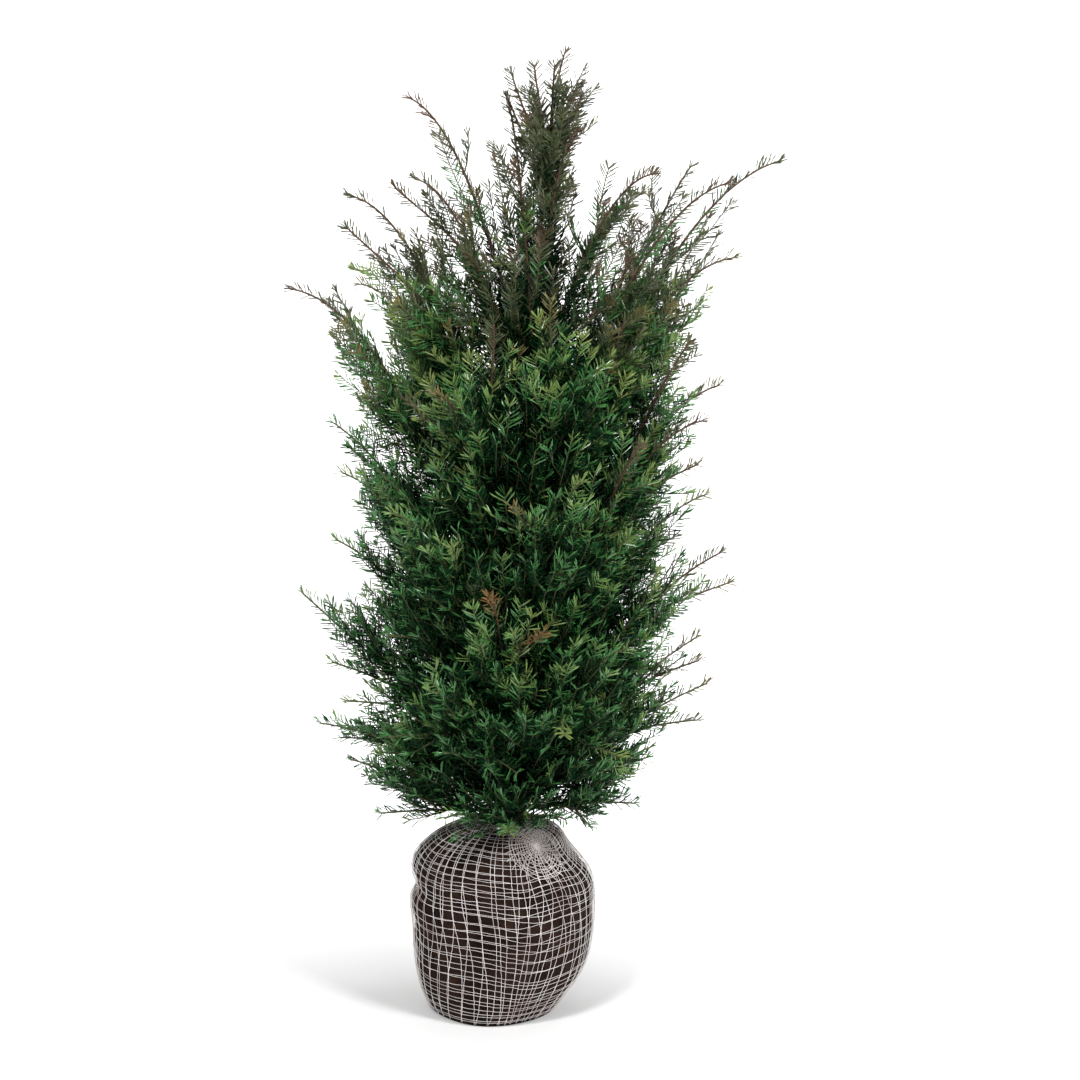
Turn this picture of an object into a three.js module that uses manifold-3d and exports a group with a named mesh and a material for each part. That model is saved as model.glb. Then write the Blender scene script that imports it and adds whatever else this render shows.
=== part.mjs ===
// A young English yew, lifted from the nursery field with its roots in a ball of soil that is
// wrapped in burlap and netting. It stands on the flat underside of that ball.
//
// The trunk runs whole from its flare on top of the ball to the leader. Shoots leave it on all
// sides, climb steeply and arch outwards at the tip. The heaviest have a bough of their own, which
// ends where it enters its foliage; the others are foliage from the trunk on. Each mass of foliage
// keeps to the space nearer to its own stems than to those of any other mass.
//
// Millimetres and degrees, +Z up, origin on the flat underside, below the middle of the ball.

import * as THREE from 'three';
import Module from 'manifold-3d';

const wasm = await Module();
wasm.setup();

// ---------------------------------------------------------------- driving dimensions

const GAP = 0.3; // between neighbouring solids
const UP = new THREE.Vector3(0, 0, 1);
const GOLDEN_ANGLE = 137.5;

const BALL = {
  height: 273,
  radius: 130,
  widestAt: 158,
  lowerRoundness: 2.6,
  upperRoundness: 2.8,
  underside: 32, // how far below the underside the rounded form would have closed
  crown: 1.5, // how far above its flat top
  sagX: -14, // the ball has settled towards -X, most at its foot
  segments: 22,
  rings: 12,
  crowding: 1.15, // draws the rings together at the foot
  plain: 0.6, // share of the radius inside which lumps fade away
  // swellings and creases: azimuth and height of the middle, how far it stands out, its spread
  lumps: [
    { azimuth: 168, at: 222, out: 9, wide: 34, high: 26 },
    { azimuth: 182, at: 184, out: -8, wide: 30, high: 9 },
    { azimuth: 196, at: 160, out: 5, wide: 26, high: 24 },
    { azimuth: -5, at: 234, out: -24, wide: 40, high: 26 },
    { azimuth: -48, at: 252, out: -9, wide: 26, high: 16 },
    { azimuth: -8, at: 22, out: -6, wide: 40, high: 26 },
    { azimuth: -104, at: 120, out: -4, wide: 20, high: 60 },
    { azimuth: -66, at: 110, out: 4, wide: 24, high: 70 },
    { azimuth: 62, at: 200, out: 7, wide: 36, high: 34 },
    { azimuth: 108, at: 90, out: -7, wide: 30, high: 50 },
    { azimuth: 138, at: 150, out: 5, wide: 26, high: 40 },
    { azimuth: -98, at: 8, out: 11, wide: 30, high: 34 },
  ],
};

const TRUNK = {
  footX: 12,
  lean: 2.7,
  top: 1108,
  radius: 13.5,
  tipRadius: 2.6,
  taper: 0.85, // below 1 the trunk thins soonest at its foot
  flareRadius: 23,
  flareHeight: 38,
  wander: 3.5, // sideways drift of the stem
  wanderLength: 430,
  sides: 10,
  rings: 14,
  crowding: 1.2, // draws the rings together at the foot
};

const SHOOT = {
  crotch: [0.22, 0.15], // share of the reach and of the rise where the shoot turns upwards
  bend: 0.5, // share of the reach where it arches over
  boughTipRadius: 3.6,
  boughGrowth: 0.011, // added to a bough's radius for each millimetre that its shoot climbs
  boughMost: 0.62, // of the trunk's radius where it leaves
  boughSides: 5,
  boughRings: 3,
  stemRadius: 3.3,
  stemTipRadius: 1.3,
  afterBough: 0.04, // share of the shoot past a bough's end that bears no needles
  bareFoot: 0.26, // the same from the trunk, where a shoot has no bough
  join: 0.02, // share of a bough that belongs to its foliage's space
};

const FORK = {
  ahead: 0.42, // how far it runs on with its stem, as a share of its span
  over: 0.62, // share of its span where it arches over
  lift: 0.08, // how far it rises there above the straight line
  bare: 0.12, // share of its length that bears no needles
};

const TWIG = {
  spacing: 62, // along a stem, between side twigs
  last: 0.74, // share of the stem past which it bears needles only
  longest: 122,
  shortest: 46,
  angle: 44, // from the stem, at the root of the twig
  sweep: 0.42, // how much of that angle it loses towards its tip
  place: [0.25, 0.3], // where in its own stretch it stands: least, and what chance adds
  roll: 43, // what chance adds to its turn round the stem
  rollStep: 40, // between neighbouring stems
  longer: [0.82, 0.36], // of the length above: least, and what chance adds
  wider: [0.85, 0.3], // of the angle above
  cuts: [1, 0.72, 0.5], // shares of its length, tried in turn
  radius: 2,
  tipRadius: 1.1,
  rootRadius: 1,
  rootLength: 9,
};

const NEEDLE = {
  pitch: 44, // along a twig; each stands for a tuft of needles
  stemPitch: 60, // along a stem
  length: 38,
  lean: 24, // how far its point lies ahead of its root
  shorter: 0.62, // of the full length, tried where the full needle has no room
  rows: 3, // round a stem
  apart: 9, // least distance between needles of different twigs
  places: [0.25, 0.5, 0.75, 1], // shares of a needle that are tested for room
  spots: [0, 0.33, 0.67], // shares of a stretch of twig that others keep off
};

const ROOM = {
  toFoliage: 1.5, // between a mass and the edge of its space
  toLimb: 3.5,
  toBall: 5,
  step: 8, // between the points that stand for a limb
};

// The lower edge of the crown, a bowl: its height at the middle, and how strongly it curves up.
const HEM = { height: 236, curve: 0.0024 };

// Where each shoot leaves the trunk, where it points, how far its tip is from the trunk's axis,
// how high its tip is, and how strongly it arches. A bough takes a share of the shoot's length.
// Forks leave the stem at a share of its length and are given by their own tip.
const shoot = (name, leaves, azimuth, reach, tip, arch, bough = 0, forks = []) => {
  return { name, leaves, azimuth, reach, tip, arch, bough, forks };
};
const fork = (at, azimuth, reach, tip) => ({ at, azimuth, reach, tip });

const SHOOTS = [
  shoot('left_crown', 935, 170, 174, 1300, 0.9, 0.3),
  shoot('left_fan', 862, -163, 170, 1193, 0.95, 0.3, [
    fork(0.45, 176, 192, 1177),
    fork(0.42, -138, 122, 1096),
  ]),
  shoot('left_high', 700, -176, 245, 1168, 0.95, 0.36, [
    fork(0.42, -160, 258, 1128),
    fork(0.38, 160, 154, 1052),
    fork(0.37, -170, 104, 1030),
  ]),
  shoot('left_arching', 545, 176, 320, 1036, 0.95, 0.36, [fork(0.45, 166, 236, 952)]),
  shoot('left_middle', 482, -166, 262, 858, 0.74, 0.34, [fork(0.45, -148, 230, 806)]),
  shoot('left_low', 338, 173, 308, 600, 0.48, 0.32, [
    fork(0.42, 178, 262, 505),
    fork(0.36, -172, 240, 458),
  ]),
  shoot('right_fan', 918, -17, 174, 1200, 0.95, 0.3, [
    fork(0.5, 20, 165, 1171),
    fork(0.4, -42, 132, 1142),
    fork(0.4, 34, 112, 1112),
  ]),
  shoot('right_crown', 745, -14, 282, 1188, 0.92, 0.36, [
    fork(0.5, 6, 226, 1205),
    fork(0.46, -40, 180, 1090),
    fork(0.48, 26, 200, 1125),
  ]),
  shoot('right_arching', 690, 3, 355, 1214, 0.9, 0.4),
  shoot('right_high', 628, -8, 296, 1084, 0.95, 0.36, [
    fork(0.5, 14, 262, 1011),
    fork(0.4, -34, 172, 1004),
    fork(0.37, 6, 132, 1058),
  ]),
  shoot('right_middle', 520, -3, 280, 905, 0.88, 0.34, [fork(0.46, -24, 256, 975)]),
  shoot('right_lower', 372, -9, 288, 673, 0.74, 0.32, [fork(0.5, 6, 303, 616)]),
  shoot('front_high', 600, -124, 202, 912, 0.9, 0.3, [
    fork(0.5, -150, 190, 900),
    fork(0.36, -108, 112, 1000),
  ]),
  shoot('front_low', 340, -99, 226, 642, 0.9, 0, [fork(0.46, -80, 216, 590)]),
  shoot('back_high', 640, 78, 236, 1060, 0.95, 0.34, [
    fork(0.46, 102, 202, 984),
    fork(0.36, 90, 112, 1100),
  ]),
  shoot('back_middle', 455, 98, 256, 835, 0.9, 0.34, [fork(0.46, 76, 236, 776)]),

  shoot('top_left', 992, 158, 40, 1302, 0.85),
  shoot('top_right', 1012, -18, 60, 1258, 0.85),
  shoot('top_front', 955, -105, 90, 1213, 0.9),
  shoot('top_back', 930, 62, 108, 1215, 0.9),
  shoot('left_back_high', 645, 152, 262, 1034, 0.95, 0, [fork(0.5, 136, 200, 1085)]),
  shoot('left_back_middle', 430, 163, 264, 768, 0.88),
  shoot('left_front_middle', 388, -169, 258, 692, 0.78, 0, [fork(0.42, -146, 214, 570)]),
  shoot('left_skirt', 302, -169, 278, 430, 0.8, 0, [fork(0.5, 168, 256, 384), fork(0.35, -150, 220, 402)]),
  shoot('left_hem', 291, -157, 202, 306, 0.9, 0, [fork(0.35, 172, 204, 334), fork(0.4, -178, 232, 366)]),
  shoot('right_front_middle', 470, -24, 276, 868, 0.9, 0, [
    fork(0.52, -22, 266, 806),
    fork(0.45, -46, 236, 842),
  ]),
  shoot('right_back_middle', 402, 14, 276, 738, 0.88, 0, [fork(0.5, 32, 266, 664)]),
  shoot('right_back_low', 325, 19, 278, 525, 0.64, 0, [fork(0.5, 4, 262, 505), fork(0.36, 36, 220, 440)]),
  shoot('right_skirt', 306, -12, 277, 488, 0.64, 0, [fork(0.45, 2, 262, 420)]),
  shoot('right_hem', 292, -22, 186, 318, 0.9, 0, [
    fork(0.4, 20, 206, 350),
    fork(0.35, -52, 174, 304),
    fork(0.4, -2, 196, 384),
  ]),
  shoot('front_right_high', 655, -56, 200, 948, 0.9, 0, [
    fork(0.46, -86, 178, 918),
    fork(0.34, -70, 112, 1030),
  ]),
  shoot('front_left_low', 402, -137, 234, 748, 0.9, 0, [fork(0.5, -114, 214, 706)]),
  shoot('front_right_middle', 442, -66, 214, 796, 0.9, 0, [fork(0.5, -92, 212, 765)]),
  shoot('front_right_low', 312, -50, 240, 563, 0.88, 0, [
    fork(0.46, -72, 224, 450),
    fork(0.34, -44, 206, 402),
  ]),
  shoot('front_left_skirt', 304, -120, 228, 508, 0.88, 0, [
    fork(0.4, -142, 222, 430),
    fork(0.34, -100, 196, 400),
  ]),
  shoot('front_hem', 290, -92, 168, 302, 0.95, 0, [fork(0.35, -66, 182, 320), fork(0.3, -122, 178, 318)]),
  shoot('back_left_high', 560, 122, 250, 960, 0.92, 0, [fork(0.4, 142, 140, 1010)]),
  shoot('back_right_high', 585, 44, 256, 985, 0.92),
  shoot('back_right_middle', 425, 56, 262, 760, 0.9),
  shoot('back_left_low', 365, 130, 262, 628, 0.88, 0, [fork(0.46, 150, 254, 560)]),
  shoot('back_right_low', 318, 72, 254, 545, 0.88, 0, [fork(0.45, 50, 248, 440)]),
  shoot('back_hem', 294, 112, 200, 332, 0.9, 0, [fork(0.4, 150, 206, 340), fork(0.36, 76, 204, 350)]),
];

const LEADER = {
  azimuth: 4,
  reach: 36,
  tip: 1362,
  arch: 0.8,
  forks: [
    fork(0.3, 104, 24, 1344),
    fork(0.32, -20, 58, 1322),
    fork(0.18, -170, 38, 1336),
    fork(0.5, -60, 44, 1346),
    fork(0.2, 14, 60, 1300),
    fork(0.12, 162, 44, 1300),
    fork(0.05, -8, 54, 1256),
  ],
};

const COLOURS = {
  foliage: [0x24461f, 0x2c5226, 0x1d3d1c, 0x345c2a],
  bough: 0x6a4630,
  trunk: 0x5c3a28,
  ball: 0x4a3527,
};

// ---------------------------------------------------------------- small helpers

const radians = THREE.MathUtils.degToRad;

// A repeatable stream of numbers from 0 to 1.
function numbers(seed) {
  let state = seed >>> 0;
  return () => {
    state = (state + 0x6d2b79f5) >>> 0;
    let t = state;
    t = Math.imul(t ^ (t >>> 15), t | 1);
    t ^= t + Math.imul(t ^ (t >>> 7), t | 61);
    return ((t ^ (t >>> 14)) >>> 0) / 4294967296;
  };
}

// The same place, seen as a point on the polar circle round a vertical line.
function polar(centre, azimuth, reach, height) {
  const turn = radians(azimuth);
  return new THREE.Vector3(
    centre.x + reach * Math.cos(turn),
    centre.y + reach * Math.sin(turn),
    height,
  );
}

// A unit vector square to the given direction, as near as can be to the wanted one.
function squareTo(direction, wanted) {
  const side = wanted.clone().addScaledVector(direction, -wanted.dot(direction));
  if (side.lengthSq() < 1e-6) {
    side.set(1, 0, 0).addScaledVector(direction, -direction.x);
  }
  return side.normalize();
}

// Points along a curve at even steps of its own parameter, each with its direction.
function walk(curve, from, to, steps) {
  const stations = [];
  for (let i = 0; i <= steps; i += 1) {
    const t = from + ((to - from) * i) / steps;
    stations.push({ t, point: curve.getPoint(t), direction: curve.getTangent(t) });
  }
  return stations;
}

// A closed solid from triangles that share numbered corners.
function solid(corners, triangles) {
  const vertProperties = new Float32Array(corners.length * 3);
  corners.forEach((corner, i) => corner.toArray(vertProperties, i * 3));
  const triVerts = new Uint32Array(triangles.flat());
  return new wasm.Manifold(new wasm.Mesh({ numProp: 3, vertProperties, triVerts }));
}

// The largest piece of a cut solid, with any scrap dropped.
function wholePiece(cut) {
  const pieces = cut.decompose();
  pieces.sort((a, b) => b.volume() - a.volume());
  return pieces[0];
}

// ---------------------------------------------------------------- tubes, bare or with needles

// A tapering tube through stations. Each station has a point, a direction and a radius, and may
// ask for needles on the stretch that follows it: needle(apex) says whether one may stand there.
// A tube whose last station has no radius ends in a point.
function tube(stations, sides, needles = null) {
  const corners = [];
  const triangles = [];
  let across = squareTo(stations[0].direction, UP);
  const frames = stations.map((station) => {
    across = squareTo(station.direction, across);
    const along = station.direction.clone().cross(across);
    return { across: across.clone(), along };
  });

  const pointed = stations[stations.length - 1].radius === 0;
  const rings = pointed ? stations.length - 1 : stations.length;
  for (let k = 0; k < rings; k += 1) {
    for (let j = 0; j < sides; j += 1) {
      const turn = (2 * Math.PI * j) / sides;
      const corner = stations[k].point.clone();
      corner.addScaledVector(frames[k].across, stations[k].radius * Math.cos(turn));
      corner.addScaledVector(frames[k].along, stations[k].radius * Math.sin(turn));
      corners.push(corner);
    }
  }

  for (let k = 0; k + 1 < rings; k += 1) {
    for (let j = 0; j < sides; j += 1) {
      const a = k * sides + j;
      const b = k * sides + ((j + 1) % sides);
      const c = b + sides;
      const d = a + sides;
      const apex = needles ? needles(stations[k], stations[k + 1], frames[k], (j + 0.5) / sides) : null;
      if (apex) {
        const tip = corners.push(apex) - 1;
        triangles.push([a, b, tip], [b, c, tip], [c, d, tip], [d, a, tip]);
      } else {
        triangles.push([a, b, c], [a, c, d]);
      }
    }
  }

  for (let j = 1; j + 1 < sides; j += 1) {
    triangles.push([0, j + 1, j]);
  }
  const last = (rings - 1) * sides;
  if (pointed) {
    const tip = corners.push(stations[stations.length - 1].point.clone()) - 1;
    for (let j = 0; j < sides; j += 1) {
      triangles.push([last + j, last + ((j + 1) % sides), tip]);
    }
  } else {
    for (let j = 1; j + 1 < sides; j += 1) {
      triangles.push([last, last + j, last + j + 1]);
    }
  }
  return solid(corners, triangles);
}

// ---------------------------------------------------------------- root ball

// How far the ball's surface lies from its axis, at an azimuth in degrees and a height.
function ballRadius(azimuth, height) {
  const below = height < BALL.widestAt;
  const roundness = below ? BALL.lowerRoundness : BALL.upperRoundness;
  const depth = below ? BALL.widestAt + BALL.underside : BALL.height - BALL.widestAt + BALL.crown;
  const share = Math.min(Math.abs(height - BALL.widestAt) / depth, 1);
  const round = BALL.radius * (1 - share ** roundness) ** (1 / roundness);
  let swell = 0;
  for (const lump of BALL.lumps) {
    const turn = THREE.MathUtils.euclideanModulo(azimuth - lump.azimuth + 180, 360) - 180;
    swell += lump.out * Math.exp(-((turn / lump.wide) ** 2) - ((height - lump.at) / lump.high) ** 2);
  }
  return round + swell * Math.min(1, round / (BALL.plain * BALL.radius));
}

// The ball's axis at a height.
function ballAxis(height) {
  const share = 1 - Math.min(height / BALL.widestAt, 1);
  return new THREE.Vector3(BALL.sagX * share * share, 0, height);
}

function rootBall() {
  const corners = [];
  const triangles = [];
  const count = BALL.segments;
  for (let k = 0; k <= BALL.rings; k += 1) {
    const height = BALL.height * Math.sin((0.5 * Math.PI * k) / BALL.rings) ** BALL.crowding;
    for (let j = 0; j < count; j += 1) {
      const azimuth = (360 * j) / count;
      corners.push(polar(ballAxis(height), azimuth, ballRadius(azimuth, height), height));
    }
  }
  const foot = corners.push(ballAxis(0)) - 1;
  const crest = corners.push(ballAxis(BALL.height)) - 1;
  const last = BALL.rings * count;
  for (let j = 0; j < count; j += 1) {
    const next = (j + 1) % count;
    for (let k = 0; k < BALL.rings; k += 1) {
      const a = k * count + j;
      const b = k * count + next;
      triangles.push([a, b, b + count], [a, b + count, a + count]);
    }
    triangles.push([foot, next, j], [crest, last + j, last + next]);
  }
  return solid(corners, triangles);
}

// ---------------------------------------------------------------- trunk

function trunkAxis(height) {
  const climbed = height - BALL.height;
  const drift = (2 * Math.PI * climbed) / TRUNK.wanderLength;
  return new THREE.Vector3(
    TRUNK.footX + climbed * Math.tan(radians(TRUNK.lean)) + TRUNK.wander * Math.sin(drift),
    TRUNK.wander * (Math.cos(drift) - 1),
    height,
  );
}

function trunkRadius(height) {
  const climbed = (height - BALL.height) / (TRUNK.top - BALL.height);
  const taper = TRUNK.radius + (TRUNK.tipRadius - TRUNK.radius) * climbed ** TRUNK.taper;
  const flare = Math.exp(-(height - BALL.height) / TRUNK.flareHeight);
  return taper + (TRUNK.flareRadius - TRUNK.radius) * flare;
}

// The trunk's tube, and the same tube grown by a gap, which cuts the shoots clear of it.
function trunkTube(grow) {
  const foot = BALL.height + GAP;
  const stations = [];
  for (let k = 0; k <= TRUNK.rings; k += 1) {
    const height = foot + (TRUNK.top - foot) * (k / TRUNK.rings) ** TRUNK.crowding;
    const radius = trunkRadius(height) + grow;
    stations.push({ point: trunkAxis(height), direction: UP, radius });
  }
  return tube(stations, TRUNK.sides);
}

// ---------------------------------------------------------------- paths of shoots and forks

function shootCurve({ leaves, azimuth, reach, tip, arch }) {
  const start = trunkAxis(leaves);
  const along = (out, rise) => polar(start, azimuth, out * reach, leaves + rise * (tip - leaves));
  return new THREE.CubicBezierCurve3(
    start,
    along(...SHOOT.crotch),
    along(SHOOT.bend, arch),
    along(1, 1),
  );
}

// A fork leaves its stem forwards and arches to its own tip. Its tip is measured from the trunk's
// axis at the height where its shoot leaves.
function forkCurve(main, leaves, { at, azimuth, reach, tip }) {
  const start = main.getPoint(at);
  const end = polar(trunkAxis(leaves), azimuth, reach, tip);
  const span = end.distanceTo(start);
  const ahead = start.clone().addScaledVector(main.getTangent(at), FORK.ahead * span);
  const over = start.clone().lerp(end, FORK.over).addScaledVector(UP, FORK.lift * span);
  return new THREE.CubicBezierCurve3(start, ahead, over, end);
}

// The stems of a mass: the rest of its shoot's curve past the bough, then its forks.
function stemsOf(spec, curve) {
  const needled = spec.bough > 0 ? spec.bough + SHOOT.afterBough : SHOOT.bareFoot;
  const stems = [{ curve, from: spec.bough, needled }];
  for (const branch of spec.forks) {
    stems.push({ curve: forkCurve(curve, spec.leaves, branch), from: 0, needled: FORK.bare });
  }
  return stems;
}

function stemRadius(stem, t) {
  const share = (t - stem.from) / (1 - stem.from);
  return SHOOT.stemRadius + (SHOOT.stemTipRadius - SHOOT.stemRadius) * share;
}

// ---------------------------------------------------------------- the space of each mass

// Every limb as a row of points with its radius, and the mass that it belongs to, if any.
const limbs = [];

function claim(owner, curve, from, to, radiusAt) {
  const steps = Math.ceil(((to - from) * curve.getLength()) / ROOM.step);
  limbs.push({
    owner,
    points: walk(curve, from, to, steps).map(({ t, point }) => ({ point, radius: radiusAt(t) })),
  });
}

// A point may be used by a mass where it is above the crown's lower edge, clear of the ball and of
// every bare limb, and nearer to the mass's own stems than to any other mass's.
function inSpace(owner, point) {
  const azimuth = THREE.MathUtils.radToDeg(Math.atan2(point.y, point.x));
  const out = Math.hypot(point.x, point.y);
  if (point.z < HEM.height + HEM.curve * out * out) {
    return false;
  }
  if (point.z < BALL.height + ROOM.toBall && out < ballRadius(azimuth, point.z) + ROOM.toBall) {
    return false;
  }
  let own = Infinity;
  let other = Infinity;
  for (const limb of limbs) {
    for (const place of limb.points) {
      const away = point.distanceTo(place.point);
      if (limb.owner === owner) {
        own = Math.min(own, away);
      } else if (limb.owner) {
        other = Math.min(other, away);
      } else if (away < place.radius + ROOM.toLimb) {
        return false;
      }
    }
  }
  return other > own + 2 * ROOM.toFoliage;
}

// ---------------------------------------------------------------- twigs and needles

// The needle that stands on one side of a stretch of stem, shortened or left out to fit. Taken
// lists the points that the mass's other twigs and their needles hold already.
function needleRule(owner, taken, own) {
  return (station, next, frame, turn) => {
    if (!station.needled) {
      return null;
    }
    const out = frame.across.clone().multiplyScalar(Math.cos(2 * Math.PI * turn));
    out.addScaledVector(frame.along, Math.sin(2 * Math.PI * turn));
    const root = station.point.clone().add(next.point).multiplyScalar(0.5);
    for (const share of [1, NEEDLE.shorter]) {
      const points = NEEDLE.places.map((place) => {
        const point = root.clone().addScaledVector(out, share * place * NEEDLE.length);
        return point.addScaledVector(station.direction, share * place * NEEDLE.lean);
      });
      const free = (point) => taken.every((other) => point.distanceTo(other) > NEEDLE.apart);
      if (points.every((point) => inSpace(owner, point) && free(point))) {
        own.push(...points);
        return points.at(-1);
      }
    }
    return null;
  };
}

// Stations along a stem, from its root to its pointed tip, with needles past their first place.
function stemStations(stem) {
  const length = stem.curve.getLength() * (1 - stem.from);
  const steps = Math.max(3, Math.round(length / NEEDLE.stemPitch));
  const stations = walk(stem.curve, stem.from, 1, steps);
  for (const station of stations) {
    station.radius = stemRadius(stem, station.t);
    station.needled = station.t > stem.needled;
  }
  stations[steps].radius = 0;
  if (stem.from > 0) {
    stations[0].point.addScaledVector(stations[0].direction, GAP);
  }
  return stations;
}

// Where the side twigs of a stem stand: a spiral of golden angles, longest low on the stem, each
// with a little chance in its length and angle.
function twigPlan(stem, seed) {
  const chance = numbers(seed);
  const leafy = stem.curve.getLength() * (TWIG.last - stem.needled);
  const count = Math.max(1, Math.round(leafy / TWIG.spacing));
  const plan = [];
  for (let i = 0; i < count; i += 1) {
    const share = (i + spread(TWIG.place)) / count;
    const t = stem.needled + (TWIG.last - stem.needled) * share;
    plan.push({
      t,
      roll: chance() * TWIG.roll + i * GOLDEN_ANGLE + seed * TWIG.rollStep,
      length: (TWIG.longest + (TWIG.shortest - TWIG.longest) * share) * spread(TWIG.longer),
      angle: TWIG.angle * spread(TWIG.wider),
    });
  }
  return plan;

  function spread([least, more]) {
    return least + more * chance();
  }
}

// A side twig's stations, bending forwards to its tip, or nothing if it would leave the space.
function twigStations(owner, stem, twig) {
  const start = stem.curve.getPoint(twig.t);
  const ahead = stem.curve.getTangent(twig.t);
  const across = squareTo(ahead, UP);
  const side = across.clone().multiplyScalar(Math.cos(radians(twig.roll)));
  side.addScaledVector(ahead.clone().cross(across), Math.sin(radians(twig.roll)));
  for (const share of TWIG.cuts) {
    const length = twig.length * share;
    const stations = [{ point: start, direction: heading(0), radius: TWIG.rootRadius }];
    const steps = Math.max(2, Math.round((length - TWIG.rootLength) / NEEDLE.pitch));
    let point = start;
    for (let k = 0; k <= steps; k += 1) {
      const stride = k === 0 ? TWIG.rootLength : (length - TWIG.rootLength) / steps;
      const place = k / steps;
      point = point.clone().addScaledVector(heading(place), stride);
      const radius = TWIG.radius + (TWIG.tipRadius - TWIG.radius) * place;
      stations.push({ point, direction: heading(place), radius, needled: true });
    }
    stations[steps + 1].radius = 0;
    if (stations.slice(1).every((station) => inSpace(owner, station.point))) {
      return stations;
    }
  }
  return null;

  function heading(place) {
    const angle = radians(twig.angle * (1 - TWIG.sweep * place));
    return ahead.clone().multiplyScalar(Math.cos(angle)).addScaledVector(side, Math.sin(angle));
  }
}

// One mass of foliage: its stems with their needles, and their side twigs with theirs, in one.
function foliage(owner, stems, seed) {
  const lines = [];
  stems.forEach((stem, s) => {
    lines.push(stemStations(stem));
    for (const twig of twigPlan(stem, seed * 10 + s)) {
      const stations = twigStations(owner, stem, twig);
      if (stations) {
        lines.push(stations);
      }
    }
  });
  const held = lines.map((stations) => alongLine(stations));
  const parts = lines.map((stations, i) => {
    const taken = held.filter((_, j) => j !== i).flat();
    return tube(stations, NEEDLE.rows, needleRule(owner, taken, held[i]));
  });
  return parts.reduce((whole, part) => whole.add(part));
}

// Points at close steps along the line of a stem or a twig.
function alongLine(stations) {
  const points = [];
  for (let k = 0; k + 1 < stations.length; k += 1) {
    for (const share of NEEDLE.spots) {
      points.push(stations[k].point.clone().lerp(stations[k + 1].point, share));
    }
  }
  return points;
}

// ---------------------------------------------------------------- the plant

const plant = new THREE.Group();

function place(name, piece, color, roughness = 0.8) {
  const { vertProperties, triVerts } = wholePiece(piece).getMesh();
  const geometry = new THREE.BufferGeometry();
  geometry.setAttribute('position', new THREE.BufferAttribute(vertProperties, 3));
  geometry.setIndex(new THREE.BufferAttribute(triVerts, 1));
  geometry.computeVertexNormals();
  const mesh = new THREE.Mesh(geometry, new THREE.MeshStandardMaterial({ color, roughness }));
  mesh.name = name;
  plant.add(mesh);
}

// A bough tapers evenly from the trunk to the stem that goes on from it.
function boughRadius(spec, t) {
  const grown = SHOOT.boughTipRadius + SHOOT.boughGrowth * (spec.tip - spec.leaves);
  const root = Math.min(grown, SHOOT.boughMost * trunkRadius(spec.leaves));
  return root + (SHOOT.boughTipRadius - root) * (t / spec.bough);
}

const trunk = trunkTube(0);
const cutter = trunkTube(GAP);
place('root_ball', rootBall(), COLOURS.ball, 0.95);
place('trunk', trunk, COLOURS.trunk);

const masses = SHOOTS.map((spec) => {
  const curve = shootCurve(spec);
  return { name: `foliage_${spec.name}`, spec, curve, stems: stemsOf(spec, curve) };
});
const leaderCurve = shootCurve({ ...LEADER, leaves: TRUNK.top });
masses.unshift({
  name: 'foliage_leader',
  spec: { bough: 0, leaves: TRUNK.top },
  curve: leaderCurve,
  stems: stemsOf({ bough: 0, leaves: TRUNK.top, forks: LEADER.forks }, leaderCurve),
});

const trunkLine = new THREE.LineCurve3(trunkAxis(BALL.height), trunkAxis(TRUNK.top));
claim(null, trunkLine, 0, 1, (t) => trunkRadius(BALL.height + t * (TRUNK.top - BALL.height)));
for (const mass of masses) {
  for (const stem of mass.stems) {
    claim(mass.name, stem.curve, stem.from, 1, (t) => stemRadius(stem, t));
  }
  if (mass.spec.bough > 0) {
    claim(null, mass.curve, 0, mass.spec.bough - SHOOT.join, (t) => boughRadius(mass.spec, t));
  }
}

masses.forEach((mass, i) => {
  if (mass.spec.bough > 0) {
    const stations = walk(mass.curve, 0, mass.spec.bough, SHOOT.boughRings);
    for (const station of stations) {
      station.radius = boughRadius(mass.spec, station.t);
    }
    const limb = tube(stations, SHOOT.boughSides).subtract(cutter);
    place(`bough_${mass.spec.name}`, limb, COLOURS.bough);
  }
  const leaves = foliage(mass.name, mass.stems, i + 1).subtract(cutter);
  place(mass.name, leaves, COLOURS.foliage[i % COLOURS.foliage.length], 0.6);
});

export default plant;
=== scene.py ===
"""A young English yew in a netted root ball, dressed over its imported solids.

The limbs follow the same named sizes and the same seeded rule as the solids, and go on from there
to finer twigs and to needles of nearly their real size. The trunk and the boughs get a mesh with the
relief of their bark. The root ball gets its burlap, with folds, and two layers of knitted netting.

Sizes in the tables are in millimetres and degrees; every mesh is in metres.
"""

from __future__ import annotations

import logging
import math
from dataclasses import dataclass, replace
from enum import Enum
from typing import Callable, Iterator, NamedTuple, Sequence

import bmesh
import bpy
import numpy as np
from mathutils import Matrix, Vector, noise


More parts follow.
